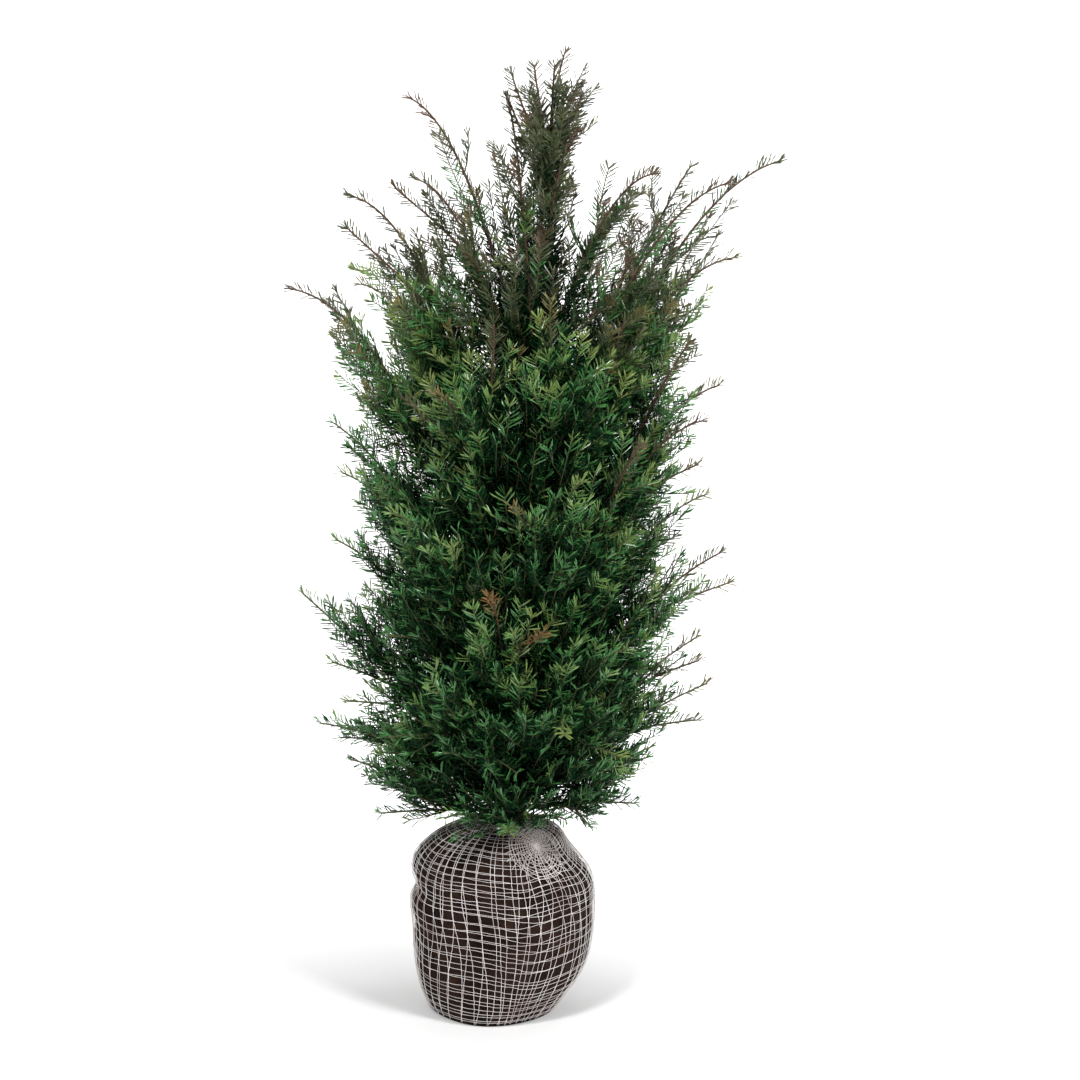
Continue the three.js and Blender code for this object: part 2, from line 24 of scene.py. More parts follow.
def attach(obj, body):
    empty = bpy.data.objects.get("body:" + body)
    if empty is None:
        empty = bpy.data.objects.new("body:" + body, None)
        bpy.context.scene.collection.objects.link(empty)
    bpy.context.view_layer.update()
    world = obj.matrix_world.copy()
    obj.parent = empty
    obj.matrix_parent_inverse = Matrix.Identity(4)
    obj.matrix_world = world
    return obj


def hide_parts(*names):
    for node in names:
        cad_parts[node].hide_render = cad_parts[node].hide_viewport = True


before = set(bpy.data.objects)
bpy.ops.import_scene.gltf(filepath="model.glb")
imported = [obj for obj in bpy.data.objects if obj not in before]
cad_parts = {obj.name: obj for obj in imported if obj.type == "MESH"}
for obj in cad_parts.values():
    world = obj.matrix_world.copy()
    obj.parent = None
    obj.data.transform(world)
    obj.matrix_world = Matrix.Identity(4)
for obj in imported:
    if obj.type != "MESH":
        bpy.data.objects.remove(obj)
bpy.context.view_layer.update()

LOG = logging.getLogger("yew")
MM = 0.001
BODY = "root"
GOLDEN_ANGLE = 137.5
WAVES_TO_A_SCALE = 20.0
UP = np.array([0.0, 0.0, 1.0])
MOST_TRIANGLES = 190_000
Array = np.ndarray
Socket = bpy.types.NodeSocket
Pair = tuple[float, float]
Shape = tuple[np.ndarray, np.ndarray]
Spot = tuple[float, float, float]
Colour = tuple[float, float, float]


# ------------------------------------------------------------------------------------ small helpers


class Chance:
    """A repeatable stream of numbers from 0 to 1."""

    MASK = 0xFFFFFFFF

    def __init__(self, seed: int) -> None:
        """Start the stream.

        Args:
            seed: The whole number that the stream grows from.
        """
        self.state = seed & self.MASK

    def next(self) -> float:
        """Draw the next number.

        Returns:
            A number from 0 to 1.
        """
        self.state = (self.state + 0x6D2B79F5) & self.MASK
        t = self.state
        t = ((t ^ (t >> 15)) * (t | 1)) & self.MASK
        t ^= (t + (((t ^ (t >> 7)) * (t | 61)) & self.MASK)) & self.MASK
        return (t ^ (t >> 14)) / 4294967296


def unit(vectors: Array) -> Array:
    """Return vectors scaled to length 1, along their last axis."""
    length = np.linalg.norm(vectors, axis=-1, keepdims=True)
    return vectors / np.maximum(length, 1e-12)


def square_to(direction: Array, wanted: Array) -> Array:
    """Return the unit vectors square to a direction that are nearest to the wanted ones.

    Args:
        direction: One unit vector or a row of them.
        wanted: The vector or vectors to come near to.

    Returns:
        One unit vector for each direction.
    """
    along = np.sum(direction * wanted, axis=-1, keepdims=True)
    side = wanted - direction * along
    spare = np.array([1.0, 0.0, 0.0]) - direction * direction[..., :1]
    short = np.linalg.norm(side, axis=-1, keepdims=True) < 1e-3
    return unit(np.where(short, spare, side))


def mix(low: float, high: float, share: float) -> float:
    """Return the number that lies at a share of the way from low to high."""
    return low + (high - low) * share


def ramp(value: float, low: float, high: float) -> float:
    """Return how far a value has come from low to high, from 0 to 1, eased at both ends."""
    share = min(max((value - low) / (high - low), 0.0), 1.0)
    return share * share * (3.0 - 2.0 * share)


def grain(spot: Vector) -> float:
    """Return smooth noise at a spot, about from -1 to 1."""
    return noise.noise(spot, noise_basis="PERLIN_ORIGINAL")


def placed(name: str, data: bpy.types.ID) -> bpy.types.Object:
    """Put a mesh, a light or a camera into the scene as an object at the origin.

    Args:
        name: The object's name.
        data: What it holds.

    Returns:
        The object.
    """
    piece = bpy.data.objects.new(name, data)
    bpy.context.scene.collection.objects.link(piece)
    return piece


def mesh_object(name: str, points: Array, faces: Array, smooth: bool = False) -> bpy.types.Object:
    """Make one object from arrays.

    Args:
        name: The piece's name.
        points: Corner positions in millimetres.
        faces: Corner numbers, one row for each triangle or four-sided face.
        smooth: Whether the faces are shaded smooth.

    Returns:
        The new object, at the origin.
    """
    mesh = bpy.data.meshes.new(name)
    sides = faces.shape[1]
    mesh.vertices.add(len(points))
    mesh.vertices.foreach_set("co", (points * MM).astype(np.float32).ravel())
    mesh.loops.add(faces.size)
    mesh.loops.foreach_set("vertex_index", faces.astype(np.int32).ravel())
    mesh.polygons.add(len(faces))
    mesh.polygons.foreach_set("loop_start", np.arange(0, faces.size, sides, dtype=np.int32))
    mesh.polygons.foreach_set("loop_total", np.full(len(faces), sides, dtype=np.int32))
    mesh.polygons.foreach_set("use_smooth", np.full(len(faces), smooth))
    mesh.update(calc_edges=True)
    return placed(name, mesh)


def bmesh_object(name: str, form: bmesh.types.BMesh) -> bpy.types.Object:
    """Make one smooth object from a finished bmesh and free the bmesh.

    Args:
        name: The piece's name.
        form: The shape, in metres.

    Returns:
        The new object, at the origin.
    """
    bmesh.ops.recalc_face_normals(form, faces=form.faces[:])
    for face in form.faces:
        face.smooth = True
    mesh = bpy.data.meshes.new(name)
    form.to_mesh(mesh)
    form.free()
    return placed(name, mesh)


def settle(
    piece: bpy.types.Object, material: bpy.types.Material, nodes: Sequence[str] = ()
) -> None:
    """Give a piece its material, its body and the nodes that it stands for.

    Args:
        piece: The finished object.
        material: Its finish.
        nodes: Names of the CAD nodes that it replaces.
    """
    piece.data.materials.clear()
    piece.data.materials.append(material)
    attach(piece, BODY)
    if nodes:
        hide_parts(*nodes)
    LOG.info("%s: %d faces", piece.name, len(piece.data.polygons))


# --------------------------------------------------------------------------------------- node tools


class Nodes:
    """A short way to lay out a node tree."""

    def __init__(self, tree: bpy.types.NodeTree) -> None:
        """Take hold of a tree.

        Args:
            tree: The material's or group's node tree.
        """
        self.tree = tree

    def feed(self, socket: Socket, value: Socket | Colour | float) -> None:
        """Link a socket to another one, or set it.

        Args:
            socket: The socket that takes the value.
            value: Another node's output, a colour or a number.
        """
        if isinstance(value, Socket):
            self.tree.links.new(value, socket)
        else:
            socket.default_value = (*value, 1.0) if isinstance(value, tuple) else value

    def add(self, kind: str, **values: object) -> bpy.types.Node:
        """Add a node, set its own properties and feed its sockets.

        Args:
            kind: Blender's node type.
            **values: Property names, or socket names with spaces written as underscores.

        Returns:
            The node.
        """
        node = self.tree.nodes.new(kind)
        for name, value in values.items():
            if hasattr(node, name):
                setattr(node, name, value)
            else:
                self.feed(node.inputs[name.replace("_", " ")], value)
        return node

    def reckon(self, operation: str, first: Socket | float, second: Socket | float) -> Socket:
        """Reckon with two values.

        Args:
            operation: Blender's name of the sum.
            first: A number or another node's output.
            second: The same.

        Returns:
            The result.
        """
        node = self.add("ShaderNodeMath", operation=operation)
        self.feed(node.inputs[0], first)
        self.feed(node.inputs[1], second)
        return node.outputs[0]

    def blend(self, mask: Socket, low: Socket | Colour, high: Colour) -> Socket:
        """Mix two colours by a mask.

        Args:
            mask: Goes from 0 for low to 1 for high.
            low: The first colour.
            high: The second colour.

        Returns:
            The mixed colour.
        """
        return self.add("ShaderNodeMix", data_type="RGBA", A=low, B=high, Factor=mask).outputs["Result"]


class Skin(Nodes):
    """A material of one shader, with what feeds it."""

    def __init__(self, name: str, roughness: float, gloss: float) -> None:
        """Make the material.

        Args:
            name: Its name.
            roughness: How dull it is.
            gloss: How strongly it mirrors.
        """
        self.material = bpy.data.materials.new(name)
        self.material.use_nodes = True
        super().__init__(self.material.node_tree)
        self.shader = self.tree.nodes["Principled BSDF"]
        self.feed(self.shader.inputs["Roughness"], roughness)
        self.feed(self.shader.inputs["Specular IOR Level"], gloss)

    def paint(self, colour: Socket | Colour) -> None:
        """Give it its base colour."""
        self.feed(self.shader.inputs["Base Color"], colour)

    def mottle(self, patch: float, grain_size: float) -> bpy.types.Node:
        """Add the shared mottling, with its sizes in metres."""
        return self.add("ShaderNodeGroup", node_tree=mottle_group(), Patch=patch, Grain=grain_size)

    def raise_by(self, height: Socket, strength: float, depth: float) -> None:
        """Give it relief.

        Args:
            height: From 0 for low to 1 for high.
            strength: How much of the relief shows.
            depth: The relief's depth in metres.
        """
        relief = self.add("ShaderNodeBump", Strength=strength, Distance=depth, Height=height)
        self.feed(self.shader.inputs["Normal"], relief.outputs["Normal"])


def mottle_group() -> bpy.types.NodeTree:
    """Build the shared mottling: large soft patches with fine grain in them.

    Returns:
        A group with inputs Patch and Grain, both in metres, and outputs Patches and Grains.
    """
    found = bpy.data.node_groups.get("mottle")
    if found:
        return found
    tree = bpy.data.node_groups.new("mottle", "ShaderNodeTree")
    nodes = Nodes(tree)
    clouds = (("Patch", 0.05, "Patches", 3.0), ("Grain", 0.003, "Grains", 5.0))
    for size, value, output, _ in clouds:
        socket = tree.interface.new_socket(size, in_out="INPUT", socket_type="NodeSocketFloat")
        socket.default_value = value
        tree.interface.new_socket(output, in_out="OUTPUT", socket_type="NodeSocketFloat")
    entry = nodes.add("NodeGroupInput")
    leave = nodes.add("NodeGroupOutput")
    place = nodes.add("ShaderNodeTexCoord").outputs["Object"]
    for size, _, output, detail in clouds:
        scale = nodes.reckon("DIVIDE", 1.0, entry.outputs[size])
        cloud = nodes.add("ShaderNodeTexNoise", Detail=detail, Roughness=0.6, Vector=place, Scale=scale)
        steep = nodes.add("ShaderNodeMapRange", From_Min=0.32, From_Max=0.68, Value=cloud.outputs["Fac"])
        nodes.feed(leave.inputs[output], steep.outputs["Result"])
    return tree


# ----------------------------------------------------------------------------------------- finishes


class Tone(Enum):
    """The colours that needles come in. Each spray takes one, and its tip may take another. Shade, deep and
    dark are painted shade, darker the less light reaches a needle, and green is their lit copy; moss and
    olive are the same steps in the top's browner hue. The others are the young growth's own colours.
    """

    SHADE = "shade"
    DEEP = "deep"
    DARK = "dark"
    MOSS = "moss"
    GREEN = "green"
    FRESH = "fresh"
    LIME = "lime"
    OLIVE = "olive"
    GOLD = "gold"
    AMBER = "amber"
    BRONZE = "bronze"
    RUSSET = "russet"

    @property
    def order(self) -> int:
        """Return the tone's place in the list."""
        return list(Tone).index(self)


@dataclass(frozen=True)
class SkinFinish:
    """The waxy skin of a needle or of a young twig, in one plain colour.

    Attributes:
        colour: The base colour.
        roughness: How dull the skin is.
        gloss: How strongly it mirrors.
        ridges: Its faint ridges, to a metre.
        relief: Their depth in metres.
    """

    colour: Colour
    roughness: float
    gloss: float
    ridges: float = 900.0
    relief: float = 0.0002

    def material(self, name: str) -> bpy.types.Material:
        """Build the material.

        Args:
            name: Its name.

        Returns:
            The material.
        """
        skin = Skin(name, self.roughness, self.gloss)
        skin.paint(self.colour)
        place = skin.add("ShaderNodeTexCoord").outputs["Object"]
        ridges = skin.add("ShaderNodeTexNoise", Scale=self.ridges, Detail=1.0, Vector=place)
        skin.raise_by(ridges.outputs["Fac"], 0.12, self.relief)
        return skin.material


# Painted shade: shade, deep and dark are green needles darkened by how little light reaches them, and
# green, moss and olive are the lit and half-lit copies; the young tones are the flush's own colours.
NEEDLE_FINISHES = {
    Tone.SHADE: SkinFinish((0.002, 0.007, 0.003), 0.5, 0.0),
    Tone.DEEP: SkinFinish((0.003, 0.018, 0.006), 0.45, 0.03),
    Tone.DARK: SkinFinish((0.004, 0.027, 0.008), 0.36, 0.12),
    Tone.MOSS: SkinFinish((0.030, 0.048, 0.022), 0.32, 0.42),
    Tone.GREEN: SkinFinish((0.050, 0.166, 0.044), 0.27, 0.6),
    Tone.FRESH: SkinFinish((0.128, 0.226, 0.060), 0.28, 0.6),
    Tone.LIME: SkinFinish((0.158, 0.218, 0.058), 0.36, 0.35),
    Tone.OLIVE: SkinFinish((0.066, 0.078, 0.035), 0.32, 0.42),
    Tone.GOLD: SkinFinish((0.140, 0.122, 0.044), 0.42, 0.3),
    Tone.AMBER: SkinFinish((0.165, 0.090, 0.030), 0.42, 0.3),
    Tone.BRONZE: SkinFinish((0.094, 0.066, 0.040), 0.42, 0.3),
    Tone.RUSSET: SkinFinish((0.112, 0.062, 0.040), 0.44, 0.3),
}


@dataclass(frozen=True)
class BarkFinish:
    """Bark, from smooth young skin to flaking old bark.

    Attributes:
        dark: Colour in the furrows.
        light: Colour of the plates.
        flake: Size of a plate in metres.
        relief: Depth of the finest relief in metres.
    """

    dark: Colour
    light: Colour
    flake: float
    relief: float

    def material(self, name: str) -> bpy.types.Material:
        """Build the material, mottled by plates and by fine grain.

        Args:
            name: Its name.

        Returns:
            The material.
        """
        skin = Skin(name, 0.72, 0.3)
        mottle = skin.mottle(self.flake, self.flake * 0.12)
        skin.paint(skin.blend(mottle.outputs["Patches"], self.dark, self.light))
        skin.raise_by(mottle.outputs["Grains"], 0.8, self.relief)
        return skin.material


TRUNK_BARK = BarkFinish((0.040, 0.018, 0.012), (0.150, 0.062, 0.038), 0.008, 0.0008)
BOUGH_BARK = BarkFinish((0.035, 0.020, 0.013), (0.110, 0.055, 0.034), 0.006, 0.0005)
GREEN_TWIG = SkinFinish((0.066, 0.074, 0.030), 0.55, 0.2)
RED_TWIG = SkinFinish((0.078, 0.042, 0.028), 0.55, 0.2)


@dataclass(frozen=True)
class BurlapFinish:
    """Moist burlap with soil pressed through it.

    Attributes:
        wet: Colour of the soaked patches.
        dry: Colour of the drier cloth.
        soil: Colour of the soil in the weave.
        threads: Threads to a metre.
        patch: Size of a soaked patch in metres.
        grain: Size of a crumb of soil in metres.
        relief: Depth of the weave in metres.
    """

    wet: Colour = (0.0045, 0.0022, 0.0020)
    dry: Colour = (0.034, 0.017, 0.0105)
    soil: Colour = (0.010, 0.0055, 0.0045)
    threads: float = 620.0
    patch: float = 0.055
    grain: float = 0.006
    relief: float = 0.0012

    def material(self) -> bpy.types.Material:
        """Build the material, with the weave laid along the piece's own UV map.

        Returns:
            The material.
        """
        cloth = Skin("burlap", 0.88, 0.08)
        mottle = cloth.mottle(self.patch, self.grain)
        grains = mottle.outputs["Grains"]
        uv = cloth.add("ShaderNodeUVMap", uv_map="cloth").outputs["UV"]
        waves = []
        for direction in ("X", "Y"):
            wave = cloth.add(
                "ShaderNodeTexWave", bands_direction=direction, Scale=self.threads / WAVES_TO_A_SCALE,
                Distortion=1.2, Detail_Scale=4.0, Vector=uv,
            )
            waves.append(wave.outputs["Fac"])
        weave = cloth.reckon("MULTIPLY", *waves)
        base = cloth.blend(mottle.outputs["Patches"], self.wet, self.dry)
        cloth.paint(cloth.blend(cloth.reckon("MULTIPLY", grains, 0.6), base, self.soil))
        cloth.raise_by(cloth.reckon("ADD", weave, grains), 0.9, self.relief)
        return cloth.material


@dataclass(frozen=True)
class NetFinish:
    """Thin knitted plastic strands, a little soiled.

    Attributes:
        clean: Colour of a clean strand.
        soiled: Colour where soil clings to it.
    """

    clean: Colour = (0.97, 0.94, 0.93)
    soiled: Colour = (0.62, 0.53, 0.50)

    def material(self) -> bpy.types.Material:
        """Build the material, with a little soil along the strands.

        Returns:
            The material.
        """
        strand = Skin("netting", 0.48, 0.5)
        mottle = strand.mottle(0.04, 0.0016)
        strand.paint(strand.blend(mottle.outputs["Patches"], self.clean, self.soiled))
        strand.raise_by(mottle.outputs["Grains"], 0.5, 0.0003)
        return strand.material


# ------------------------------------------------------------------------------- sizes of the plant


@dataclass(frozen=True)
class Lump:
    """A swelling or crease of the root ball.

    Attributes:
        azimuth: Direction of its middle, in degrees.
        at: Height of its middle.
        out: How far it stands out.
        wide: Its spread round the ball, in degrees.
        high: Its spread up the ball.
    """

    azimuth: float
    at: float
    out: float
    wide: float
    high: float


@dataclass(frozen=True)
class BallForm:
    """The sizes of the root ball, in millimetres."""

    height: float = 273.0
    radius: float = 130.0
    widest_at: float = 158.0
    lower_roundness: float = 2.6
    upper_roundness: float = 2.8
    underside: float = 32.0
    crown: float = 1.5
    sag_x: float = -14.0
    lumps: tuple[Lump, ...] = (
        Lump(168, 222, 9, 34, 26),
        Lump(182, 184, -8, 30, 9),
        Lump(196, 160, 5, 26, 24),
        Lump(-5, 234, -24, 40, 26),
        Lump(-48, 252, -9, 26, 16),
        Lump(-8, 22, -6, 40, 26),
        Lump(-104, 120, -4, 20, 60),
        Lump(-66, 110, 4, 24, 70),
        Lump(62, 200, 7, 36, 34),
        Lump(108, 90, -7, 30, 50),
        Lump(138, 150, 5, 26, 40),
        Lump(-98, 8, 11, 30, 34),
    )

    def reach(self, azimuth: Array, height: Array) -> Array:
        """Return how far the surface lies from the ball's axis.

        Args:
            azimuth: Directions in degrees.
            height: Heights in millimetres.

        Returns:
            Distances in millimetres.
        """
        below = height < self.widest_at
        roundness = np.where(below, self.lower_roundness, self.upper_roundness)
        over = self.height - self.widest_at + self.crown
        depth = np.where(below, self.widest_at + self.underside, over)
        share = np.minimum(np.abs(height - self.widest_at) / depth, 1.0)
        base = self.radius * (1.0 - share**roundness) ** (1.0 / roundness)
        swell = np.zeros_like(base)
        for lump in self.lumps:
            turn = (azimuth - lump.azimuth + 180.0) % 360.0 - 180.0
            fade = (turn / lump.wide) ** 2 + ((height - lump.at) / lump.high) ** 2
            swell = swell + lump.out * np.exp(-fade)
        return base + swell * np.minimum(1.0, base / (0.6 * self.radius))

    def axis_x(self, height: Array) -> Array:
        """Return where the ball's axis stands at some heights, along X, in millimetres."""
        share = 1.0 - np.minimum(height / self.widest_at, 1.0)
        return self.sag_x * share * share


@dataclass(frozen=True)
class TrunkForm:
    """The sizes of the trunk, in millimetres and degrees."""

    foot: float = 273.0
    foot_x: float = 12.0
    lean: float = 2.7
    top: float = 1108.0
    radius: float = 13.5
    tip_radius: float = 2.6
    flare_radius: float = 23.0
    flare_height: float = 38.0
    wander: float = 3.5
    wander_length: float = 430.0

    def line_x(self, height: Array) -> Array:
        """Return where the trunk's straight line stands at some heights, along X."""
        return self.foot_x + (height - self.foot) * math.tan(math.radians(self.lean))

    def axis(self, height: float) -> Array:
        """Find the middle of the trunk, with its wander.

        Args:
            height: The height of the spot.

        Returns:
            The point.
        """
        drift = 2.0 * math.pi * (height - self.foot) / self.wander_length
        x = self.line_x(height) + self.wander * math.sin(drift)
        return np.array([x, self.wander * (math.cos(drift) - 1.0), height])

    def thickness(self, height: float) -> float:
        """Reckon how thick the trunk is.

        Args:
            height: The height of the spot.

        Returns:
            The trunk's radius.
        """
        climbed = max((height - self.foot) / (self.top - self.foot), 0.0)
        taper = self.radius + (self.tip_radius - self.radius) * climbed**0.85
        flare = math.exp(-(height - self.foot) / self.flare_height)
        return taper + (self.flare_radius - self.radius) * flare


@dataclass(frozen=True)
class ShootForm:
    """How every shoot bends and tapers."""

    crotch: Pair = (0.22, 0.15)
    bend: float = 0.5
    bough_tip_radius: float = 3.6
    stem_radius: float = 2.7
    stem_tip_radius: float = 1.3


@dataclass(frozen=True)
class TwigForm:
    """How the side twigs that the solids have too stand on a stem."""

    spacing: float = 62.0
    last: float = 0.74
    longest: float = 122.0
    shortest: float = 46.0
    angle: float = 44.0
    sweep: float = 0.42
    step: float = 10.0
    rise: float = 0.0


@dataclass(frozen=True)
class SideRule:
    """How finer shoots stand on the shoot that carries them, in millimetres and degrees.

    Attributes:
        spacing: Distance between neighbours.
        clear: How far the carrier stays single behind its tip.
        share: Length for each millimetre that the carrier goes on.
        longest: Greatest length.
        shortest: Least length.
        angle: Angle from the carrier.
        step: Distance between the points of a line.
        flat: Whether they alternate in one plane instead of winding round.
        rise: How strongly they turn up.
        sweep: Share of the angle that they lose towards their tip.
    """

    spacing: float
    clear: float
    share: float
    longest: float
    shortest: float
    angle: float
    step: float
    flat: bool
    rise: float
    sweep: float = 0.42


ON_NECK = SideRule(0.8, 0.0, 9.0, 205.0, 50.0, 62.0, 14.0, False, 0.3, -0.04)
ON_SKIRT = SideRule(2.2, 0.0, 9.0, 225.0, 70.0, 50.0, 14.0, False, 0.25, 0.05)
ON_TRUNK = SideRule(6.0, 16.0, 0.5, 235.0, 60.0, 40.0, 14.0, False, 0.4, 0.2)
ON_STEM = SideRule(10.5, 0.0, 0.62, 180.0, 28.0, 31.0, 14.0, False, 0.36, 0.5)
ON_TWIG = SideRule(26.0, 56.0, 0.62, 90.0, 20.0, 36.0, 12.0, True, 0.2)


@dataclass(frozen=True)
class Variety:
    """Between which limits chance varies the finer shoots.

    Tilt and turn are in degrees, and length, angle, spacing and along are shares of what their rule
    gives, along from the carrier's root to its tip. Shoots come to turn up in full between the rise
    heights, in millimetres.
    """

    tilt: Pair = (-22.0, 52.0)
    turn: float = 50.0
    length: Pair = (0.5, 1.25)
    angle: Pair = (0.75, 1.25)
    spacing: Pair = (0.7, 1.3)
    along: Pair = (0.75, 1.3)
    rise_heights: Pair = (200.0, 300.0)


@dataclass(frozen=True)
class Habit:
    """What the flush of its young growth does to a stem, in millimetres and degrees.

    Single, spacing and angle are for a stem without flush and at full flush; single gives first its
    least and then what full flush adds, up to most_single of the stem. Shoots take low_share of
    their stem's flush below the fade heights, all of it above them, and never over most_flush.
    Those on the trunk take trunk_flush. A stem is red from the flush in red.
    """

    single: Pair = (24.0, 110.0)
    most_single: float = 0.42
    spacing: Pair = (10.5, 18.0)
    angle: Pair = (32.0, 26.0)
    most_flush: float = 0.8
    low_share: float = 0.45
    fade: Pair = (850.0, 1100.0)
    trunk_flush: Pair = (0.05, 0.85)
    trunk_fade: Pair = (820.0, 1140.0)
    red: float = 0.58


@dataclass(frozen=True)
class NeedleForm:
    """The sizes of a yew needle and how needles stand, in millimetres and degrees.

    They stand at the close pitch on twigs that are free, past the free heights or the free shares of
    the crown's reach, and a crowd more stand in each tip. Length goes from young in the light to
    grown in the shade. It grows from a share at the twig's root and at its tip, over so many
    millimetres. Lengths and widths are shares between which it varies. Lift and lift_spread are for
    a level and an upright twig. Towards a twig's tip the angle loses closing.
    """

    pitch: float = 2.8
    close_pitch: float = 2.1
    free_heights: Pair = (820.0, 1020.0)
    free_outs: Pair = (0.8, 1.05)
    jitter: float = 0.7
    crowd: int = 6
    crowd_in: float = 4.0
    young: float = 16.5
    grown: float = 23.0
    lengths: Pair = (0.78, 1.14)
    at_root: Pair = (0.6, 30.0)
    at_tip: Pair = (0.68, 22.0)
    width: float = 1.95
    young_width: float = 2.1
    inner_width: float = 3.2
    widths: Pair = (0.85, 1.1)
    thickness: float = 0.9
    angle: float = 58.0
    angle_spread: float = 5.5
    closing: float = 20.0
    closing_in: float = 6.0
    lift: Pair = (18.0, 5.0)
    lift_spread: Pair = (15.0, 26.0)
    stem_lift: Pair = (-50.0, 85.0)
    roll: float = 36.0
    twist: float = 38.0
    curve: float = 0.32


@dataclass(frozen=True)
class ToneRule:
    """How light and height deal the tones of needles.

    Deep, dark, green and outer are the light from which a needle has that tone, or shows the flush
    of its twig. Above top, in millimetres, dark gives way to moss, and green to olive on a share of
    the twigs. Lot varies the light of whole twigs, and the spreads vary what they are named for.
    The finest twigs lose side_loss of their flush, and a stem's young end is stretched.
    """

    deep: float = 0.26
    dark: float = 0.57
    green: float = 0.85
    outer: float = 0.46
    lot: float = 0.3
    spread: float = 0.12
    top: float = 1040.0
    top_spread: float = 220.0
    olive_share: float = 0.7
    flush_spread: float = 0.36
    side_loss: float = 0.15
    stem_stretch: float = 2.4


@dataclass(frozen=True)
class CrownForm:
    """How far the crown reaches, and where it is open and light, in millimetres.

    The reaches hold at the heights. In the top and on the right, past the limits given for them,
    shoots stand further apart by open_top and open_right times, but only by trunk_share of that
    next to the trunk. Outside and trunk_outs are shares of the reach. The top has more light than
    the body by top_light, which grows from the first of the light heights over the second.
    """

    heights: tuple[float, ...] = (300.0, 480.0, 800.0, 1000.0, 1150.0, 1300.0, 1370.0)
    reaches: tuple[float, ...] = (190.0, 260.0, 250.0, 205.0, 150.0, 60.0, 30.0)
    top: Pair = (920.0, 1080.0)
    open_top: float = 5.4
    trunk_share: float = 0.22
    trunk_outs: Pair = (0.1, 0.45)
    outside: Pair = (0.72, 1.0)
    right: Pair = (120.0, 230.0)
    open_right: float = 1.1
    top_light: float = 0.65
    light_heights: Pair = (880.0, 280.0)
    thinned_below: float = 880.0

    def outness(self, points: Array) -> Array:
        """Reckon how far points lie out from the trunk.

        Args:
            points: Points in millimetres.

        Returns:
            Shares of the crown's reach there.
        """
        height = points[..., 2]
        out = np.hypot(points[..., 0] - TRUNK.line_x(height), points[..., 1])
        return out / np.interp(height, self.heights, self.reaches)

    def spacing(self, point: Array) -> float:
        """Reckon how open the crown is.

        Args:
            point: A point in millimetres.

        Returns:
            How many times further apart shoots stand there than in the dense body.
        """
        out = float(self.outness(point))
        above = self.open_top * ramp(float(point[2]), *self.top)
        above *= mix(self.trunk_share, 1.0, ramp(out, *self.trunk_outs))
        return 1.0 + above + ramp(out, *self.outside) + self.open_right * ramp(float(point[0]), *self.right)

    def light(self, points: Array) -> Array:
        """Return how much light reaches points: more towards the outside and the top."""
        start, over = self.light_heights
        return self.outness(points) + self.top_light * np.clip((points[:, 2] - start) / over, 0.0, 1.0)


@dataclass(frozen=True)
class Room:
    """Clearances that a twig of the first order keeps, in millimetres."""

    to_foliage: float = 1.5
    to_ball: float = 5.0


@dataclass(frozen=True)
class Hem:
    """The lower edge of the crown, a bowl that curves up outwards.

    Attributes:
        height: Its height at the middle, in millimetres.
        curve: Its rise for each square millimetre of distance from there.
    """

    height: float = 236.0
    curve: float = 0.0024

    def at(self, out: Array) -> Array:
        """Return its height at distances from the middle."""
        return self.height + self.curve * out * out


HEM = Hem()
BALL = BallForm()
TRUNK = TrunkForm()
SHOOT = ShootForm()
TWIG = TwigForm()
VARIETY = Variety()
HABIT = Habit()
NEEDLE = NeedleForm()
TONES = ToneRule()
CROWN = CrownForm()
ROOM = Room()


@dataclass(frozen=True)
class Fork:
    """A branch of a stem, given by the share of the stem where it leaves and by its own tip."""

    at: float
    azimuth: float
    reach: float
    tip: float


@dataclass(frozen=True)
class Shoot:
    """One shoot from the trunk.

    Attributes:
        name: What the shoot is called.
        leaves: The height at which it leaves the trunk.
        azimuth: The direction of its tip.
        reach: How far its tip is from the trunk's axis.
        tip: The height of its tip.
        arch: How strongly it arches over.
        bough: The share of its length that is a bare bough.
        forks: Its forks.
        flush: How far its young growth has turned, from 0 for green to 1 for bronze.
    """

    name: str
    leaves: float
    azimuth: float
    reach: float
    tip: float
    arch: float
    bough: float = 0.0
    forks: tuple[Fork, ...] = ()
    flush: float = 0.2


